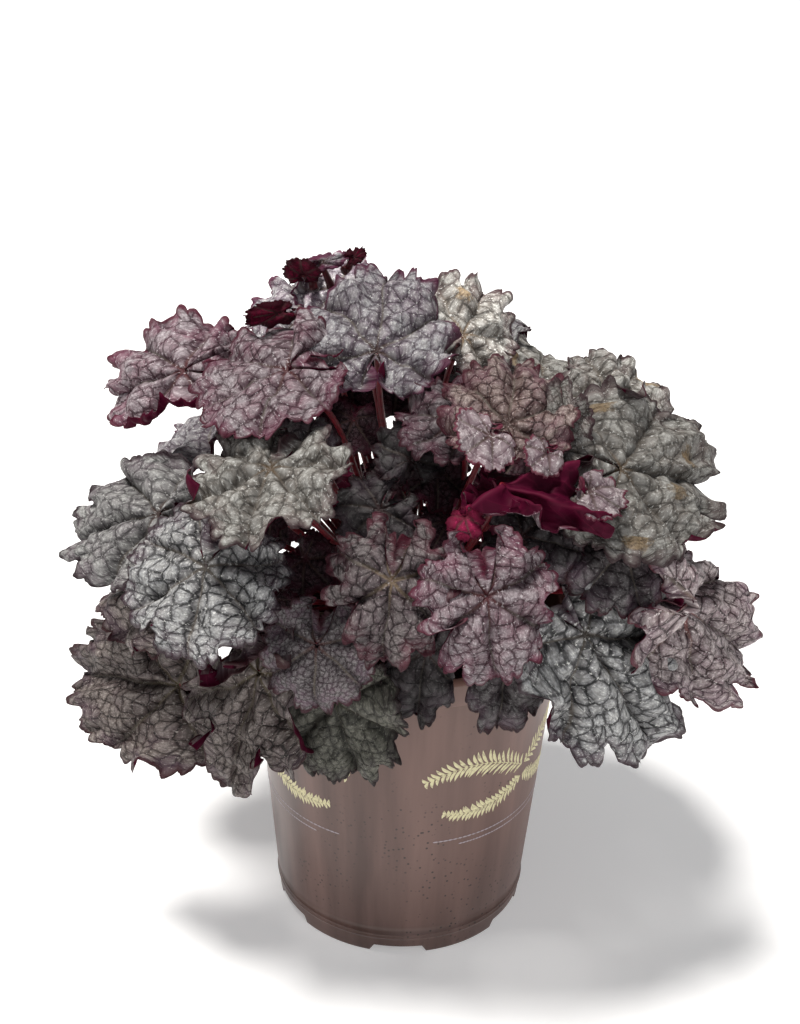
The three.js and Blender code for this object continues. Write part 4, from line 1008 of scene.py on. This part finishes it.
def makeLeaf(name, node, number, tuft=None):
    f = leafForm
    random = np.random.default_rng(900 + number)
    hub, rings, stalk, up = orderedRings(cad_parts[node].data)
    if tuft:
        hub, rings, stalk, up = placed(hub, rings, up, tuft)
    rimReach = np.linalg.norm(rings[2] - hub, axis=1)
    length = np.percentile(rimReach, 90)
    shown = number in kindOf
    shownCount = 8 if length < 36 else 10 if length < 56 else 12
    rimCount = f["scallops"] * (4 if tuft else shownCount if shown else 6)
    rows = int(np.clip(round(length / (1.6 if shown else 2.2)), 10, 40))
    shares, counts = ringPlan(rimCount, rows)
    shape = {"cell": 3.2, **tuft} if tuft else shapes.get(number, {})
    turn = np.concatenate([[0.0]] + [np.arange(n) / n for n in counts])
    share = np.concatenate([[0.0], np.repeat(shares, counts)])
    full = around(rimReach[:, None], turn)[:, 0]
    filling, lobing = (shape.get(key, f[key]) for key in ("filling", "lobing"))
    outline = outlineReach(turn, rimReach, filling, lobing, random)
    direction = turn * 360 - 180
    for centre, half, taken in shape.get("trims", []):
        outline = outline * (1 - taken * nearTo(direction, centre, half))
    reach = share * (1 + (outline - 1) * share ** 2)
    edge = (1 - share) * full

    # rolled margins: beyond the fold the way along the blade becomes an arc, r sin t along and r (1 - cos
    # t) up
    bend, rise = np.zeros(len(turn)), np.zeros(len(turn))
    for centre, half, width, radius in shape.get("rolls", []):
        near = nearTo(direction, centre, half)
        past = np.maximum(0, share * full - (full - width * near))
        bend = bend + past / radius
        reach = reach + (radius * np.sin(past / radius) - past) / full
        rise = rise + radius * (1 - np.cos(past / radius))

    point, outward, normal = bladeFrame(hub, rings, turn, share, up)
    point = point + ((reach - share) * full)[:, None] * outward
    point[:, 2] -= shape.get("sag", 0) * share ** 2 * np.cos(np.pi * turn - np.pi / 2) ** 2
    normal[0] = up
    angle = 2 * np.pi * turn - np.pi
    flatReach = np.linalg.norm(point - hub, axis=1)
    flat = np.stack([flatReach * np.cos(angle), flatReach * np.sin(angle)], 1)
    p = random.random(6) * 2 * np.pi
    grown = smooth(3, 20, flatReach)
    warp = np.stack([1.3 * np.sin(0.13 * flat[:, 1] + p[0]) + 0.6 * np.sin(0.33 * flat[:, 0] + p[1]),
                     1.3 * np.sin(0.14 * flat[:, 0] + p[2]) + 0.6 * np.sin(0.31 * flat[:, 1] + p[3])], 1)
    flat = flat + warp * grown[:, None]
    closer = 1 + 0.3 * (share ** 2)[:, None]  # cells are smaller towards the margin
    net = flat / shape.get("cell", f["cell"]) * closer + random.integers(20, 900, 2)

    # pleats: |sin| round the hub, with a crease along each main vein; ruffles: waves round the margin,
    # uneven
    size50, small = length / 50, min(1, length / 36)
    height = puckers(flat, net, shape.get("relief", 1) * (0.8 + 0.4 * random.random()) * small)
    height = height + f["lump"] * small * grown * (lumps(flat, 17, random) + 0.3 * lumps(flat, 8, random))
    ridge = np.abs(np.sin(angle * 180 / f["lobeStep"]))
    height = height + f["pleat"] * size50 * share ** 0.8 * (1.7 * ridge - 1)
    waves, ripples = random.integers(11, 16), random.integers(19, 27)
    uneven = 1 + 0.6 * np.sin(2 * np.pi * turn * random.integers(2, 5) + p[5])
    wave = share ** 4 * np.sin(2 * np.pi * turn * waves + p[4])
    frill = share ** 8 * np.sin(2 * np.pi * turn * ripples + p[0])
    height = height + f["ruffle"] * size50 * uneven * (wave + 0.15 * frill) + rise
    turned = np.cos(bend)[:, None] * normal - np.sin(bend)[:, None] * outward
    height = height - 1.6 * np.exp(-(flatReach / 2.5) ** 2)
    middle = point + (height - 0.5 * f["cadBlade"])[:, None] * normal
    half = 0.5 * (f["blade"] + (f["rimBlade"] - f["blade"]) * smooth(0.7, 1, share))
    upper = middle + half[:, None] * turned
    lower = middle - half[:, None] * turned

    quads, triangles, rim = bladeFaces(counts, 0)
    size = len(turn)
    k = np.arange(counts[-1])
    rimA, rimB = rim + k, rim + (k + 1) % counts[-1]
    rimQuads = np.stack([rimA, rimA + size, rimB + size, rimB], 1)
    tube, tubeFlat = stalkTube(stalk, hub, up)
    tubeFaces = gridFaces(f["stalkRings"], f["stalkSides"], True) + 2 * size
    lastRing = 2 * size + (f["stalkRings"] - 1) * f["stalkSides"]
    cap = np.arange(1, f["stalkSides"] - 1)
    foot = np.stack([0 * cap, cap + 1, cap], 1) + 2 * size
    head = np.stack([0 * cap, cap, cap + 1], 1) + lastRing
    points = np.concatenate([upper, lower, tube])
    faces = [quads, quads[:, ::-1] + size, rimQuads, tubeFaces, triangles, triangles[:, ::-1] + size, foot,
             head]
    slots = np.concatenate([np.full(len(block), slot) for block,
                            slot in zip(faces, (0, 1, 0, 2, 0, 1, 2, 2))])
    maps = {"veins": np.concatenate([flat, flat, tubeFlat]), "net": np.concatenate([net, net, tubeFlat])}
    values = {"edge": np.concatenate([edge, edge, np.full(len(tube), 50)]),
              "toneAndPaintedLight": np.full(len(points), tuft.get("toneAndPaintedLight", 1) if tuft else toneAndPaintedLight.get(number, 1))}
    kind = kindOf.get(number) or otherKinds[number % len(otherKinds)]
    if tuft:
        # young leaves deep in the clump take the maroon look darkened with painted shade
        kind = tuft.get("kind", "maroonInPaintedShade")
    piece = addMesh(name, points, faces, [upperSkins[kind], underSkin, stalkMaterial], slots, maps,
                    values)
    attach(piece, "root")
    if not tuft:
        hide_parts(node)
    return len(quads) * 4 + len(triangles) * 2 + len(tubeFaces) * 2


leafNodes = sorted(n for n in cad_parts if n.startswith("leaf_"))
total = sum(makeLeaf(f"blade{node[5:]}", node, int(node[5:])) for node in leafNodes)
print(f"{len(leafNodes)} leaves are made, with {total} triangles")

# young crumpled leaves deep in the clump, between the stalks, and the folded margins and curls of larger
# ones
folded = {"kind": "foldedSilver", "cell": 8, "filling": 0.6, "lobing": 0, "relief": 0.25}
curl = {"kind": "crimsonFold", "filling": 1, "lobing": 0, "relief": 0.3}
tufts = [
    {"hub": (-27, -15, 266), "tip": (-34, -24, 245), "face": (-0.2, -1, 0.5)},
    {"hub": (-42, -35, 256), "tip": (-63, -33, 261), "face": (0, -1, 0.6)},
    {"hub": (-6, -52, 257), "tip": (0, -61, 237), "face": (0.3, -1, 0.4)},
    {"hub": (16, -72, 242), "tip": (8, -80, 226), "face": (-0.3, -1, 0.6)},
    {"hub": (-45, -72, 222), "tip": (-29, -78, 207), "face": (0.2, -1, 0.4)},
    {"hub": (48, -62, 239), "tip": (67, -66, 230), "face": (0.2, -1, 0.6)},
    {"hub": (-29, 10, 276), "tip": (-48, 2, 259), "face": (0, -1, 0.7)},
    {"hub": (26, -12, 275), "tip": (45, -18, 262), "face": (0.4, -1, 0.6)},
    {"hub": (80, -62, 220), "tip": (64, -68, 206), "face": (0, -1, 0.5)},
    {"hub": (31, -84, 211), "tip": (31, -91, 194), "face": (0, -1, 0.4)},
    {"hub": (-59, -84, 208), "tip": (-67, -92, 191), "face": (-0.2, -1, 0.4)},
    {"hub": (58, 21, 236), "tip": (78, 28, 223), "face": (0.7, 0.2, 0.9)},
    {"hub": (40, 57, 258), "tip": (52, 74, 245), "face": (0.4, 0.6, 0.9)},
    {"hub": (-6, 72, 250), "tip": (-8, 92, 237), "face": (-0.1, 0.7, 0.9)},
    {"hub": (-45, 54, 262), "tip": (-58, 70, 249), "face": (-0.4, 0.5, 0.9)},
    {"hub": (-62, 17, 240), "tip": (-82, 22, 227), "face": (-0.7, 0.2, 0.9)},
    {"hub": (-63, -30, 226), "tip": (-82, -38, 213), "face": (-0.6, -0.3, 0.9)},
    {"hub": (67, -31, 232), "tip": (86, -40, 219), "face": (0.6, -0.3, 0.9)},
    {"hub": (31, -98, 292), "tip": (17, -108, 285), "face": (-0.2, -1, 0.6), **folded,
     "toneAndPaintedLight": 1.05, "width": 1.2, "trims": [(180, 100, 0.7)]},
    {"hub": (54, -100, 286), "tip": (44, -108, 280), "face": (-0.1, -1, 0.5), **folded,
     "toneAndPaintedLight": 0.95, "trims": [(180, 110, 0.8)]},
    {"hub": (71, -104, 272), "tip": (88, -108, 262), "face": (0.3, -1, 0.8), **folded,
     "toneAndPaintedLight": 0.9, "width": 0.8, "trims": [(180, 115, 0.85)]},
    {"hub": (60, -82, 284), "tip": (60, -72, 314), "face": (0, -1, 0.3), "kind": "oliveSilver", "width": 0.6},
    {"hub": (-49.8, -16, 332.2), "tip": (-50.6, -18, 342.4), "face": (-0.2, -1, 0.5), **curl,
     "foot": (-45, -8, 324),
     "width": 1.3, "trims": [(180, 100, 0.4)]},
    {"hub": (-58, -34, 320.6), "tip": (-76.5, -36, 317), "face": (0, -1, 0.3), **curl,
     "foot": (-50, -10, 311),
     "width": 0.34, "trims": [(180, 100, 0.4)]},
    {"hub": (-42, -14, 338), "tip": (-27, -14, 341.6), "face": (0, -1, 0.4), "kind": "lilacSilver",
     "foot": (-37, -4, 322),
     "toneAndPaintedLight": 1.3, "width": 0.3, "filling": 1, "lobing": 0},
    {"hub": (-28, -16, 341.4), "tip": (-20.5, -16, 344.6), "face": (0, -1, 0.5), **curl,
     "foot": (-32, -9, 333),
     "width": 0.6},
    {"hub": (-8, 16, 277), "tip": (-9, 10, 252), "face": (0, -1, 0.4), "width": 1.5},
    {"hub": (11, -62, 262), "tip": (12, -72, 240), "face": (0.2, -1, 0.4)},
    {"hub": (-60, -12, 217), "tip": (-62, -18, 196), "face": (-0.1, -1, 0.4)},
    {"hub": (50, -42, 263), "tip": (53, -48, 244), "face": (0.1, -1, 0.4)},
    {"hub": (21, -113, 263), "tip": (24.5, -120, 253), "face": (-0.2, -1, 0.5), "kind": "youngCrimson",
     "cell": 7, "relief": 0.3, "width": 0.8, "filling": 1, "lobing": 0, "trims": [(180, 100, 0.5)]},
]
more = sum(makeLeaf(f"youngLeaf{i + 1:02d}", "leaf_18", 60 + i, tuft) for i, tuft in enumerate(tufts))
print(f"{len(tufts)} young leaves are made, with {more} triangles")

# ---- potting mix and crown

def barkMix():
    # potting mix of composted bark and peat: dull, dark and crumbly
    material, tree = newMaterial("barkPottingMix")
    spot = add(tree, "TexCoord", output="Object")
    crumbs = add(tree, "TexVoronoi", {"Vector": spot, "Scale": 260.0}, feature="F1")
    tone = crumbs.node.outputs["Color"]
    colour = add(tree, "Mix", {"Factor": tone, "A": linear("#1d1510"), "B": linear("#4a382b")}, output=2,
                 data_type="RGBA")
    bump = add(tree, "Bump", {"Height": crumbs, "Strength": 0.8, "Distance": 0.001})
    surface = add(tree, "BsdfPrincipled", {"Base Color": colour, "Roughness": 0.9, "Normal": bump})
    finishMaterial(tree, surface)
    return material


def woodyCrown():
    # woody crown: brown bark with crimson young tissue between the old leaf scars
    material, tree = newMaterial("scarredBark")
    spot = add(tree, "TexCoord", output="Object")
    noise = add(tree, "TexNoise", {"Vector": spot, "Scale": 180.0, "Detail": 5.0})
    colour = add(tree, "Mix", {"Factor": noise, "A": linear("#2c1512"), "B": linear("#6b3a2e")}, output=2,
                 data_type="RGBA")
    bump = add(tree, "Bump", {"Height": noise, "Strength": 0.8, "Distance": 0.001})
    surface = add(tree, "BsdfPrincipled", {"Base Color": colour, "Roughness": 0.8, "Normal": bump})
    finishMaterial(tree, surface)
    return material


def makeChips(material):
    # bark chips strewn over the potting mix: boxes with every corner moved, turned at random, half sunk
    random = np.random.default_rng(77)
    count = 420
    reach = 27 + 47 * random.random(count) ** 0.6
    angle = random.random(count) * 2 * np.pi
    middle = np.stack([reach * np.cos(angle), reach * np.sin(angle), 152.6 + 0.8 * random.random(count)], 1)
    size = np.stack([1.5 + 3 * random.random(count), 1 + 1.6 * random.random(count),
                     0.5 + random.random(count)], 1)
    box = np.array([[x, y, z] for z in (-1, 1) for x, y in ((-1, -1), (1, -1), (1, 1), (-1, 1))], float)
    corners = (box + 0.5 * (random.random((count, 8, 3)) - 0.5)) * size[:, None] * 0.9
    spin, tilt = random.random(count) * np.pi, 0.5 * (random.random(count) - 0.5)
    x = corners[..., 0] * np.cos(spin)[:, None] - corners[..., 1] * np.sin(spin)[:, None]
    y = corners[..., 0] * np.sin(spin)[:, None] + corners[..., 1] * np.cos(spin)[:, None]
    z = corners[..., 2] + x * np.sin(tilt)[:, None]
    points = np.stack([x, y, z], -1) + middle[:, None]
    sides = np.array([[3, 2, 1, 0], [4, 5, 6, 7], [0, 1, 5, 4], [1, 2, 6, 5], [2, 3, 7, 6], [3, 0, 4, 7]])
    faces = (sides[None] + np.arange(count)[:, None, None] * 8).reshape(-1, 4)
    piece = addMesh("barkChips", points.reshape(-1, 3), [faces], [material], shadeSmooth=False)
    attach(piece, "root")


mix = barkMix()
makeChips(mix)
for node, material in (("soil", mix), ("crown", woodyCrown())):
    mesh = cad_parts[node].data
    mesh.materials.clear()
    mesh.materials.append(material)
print("potting mix and crown are finished")
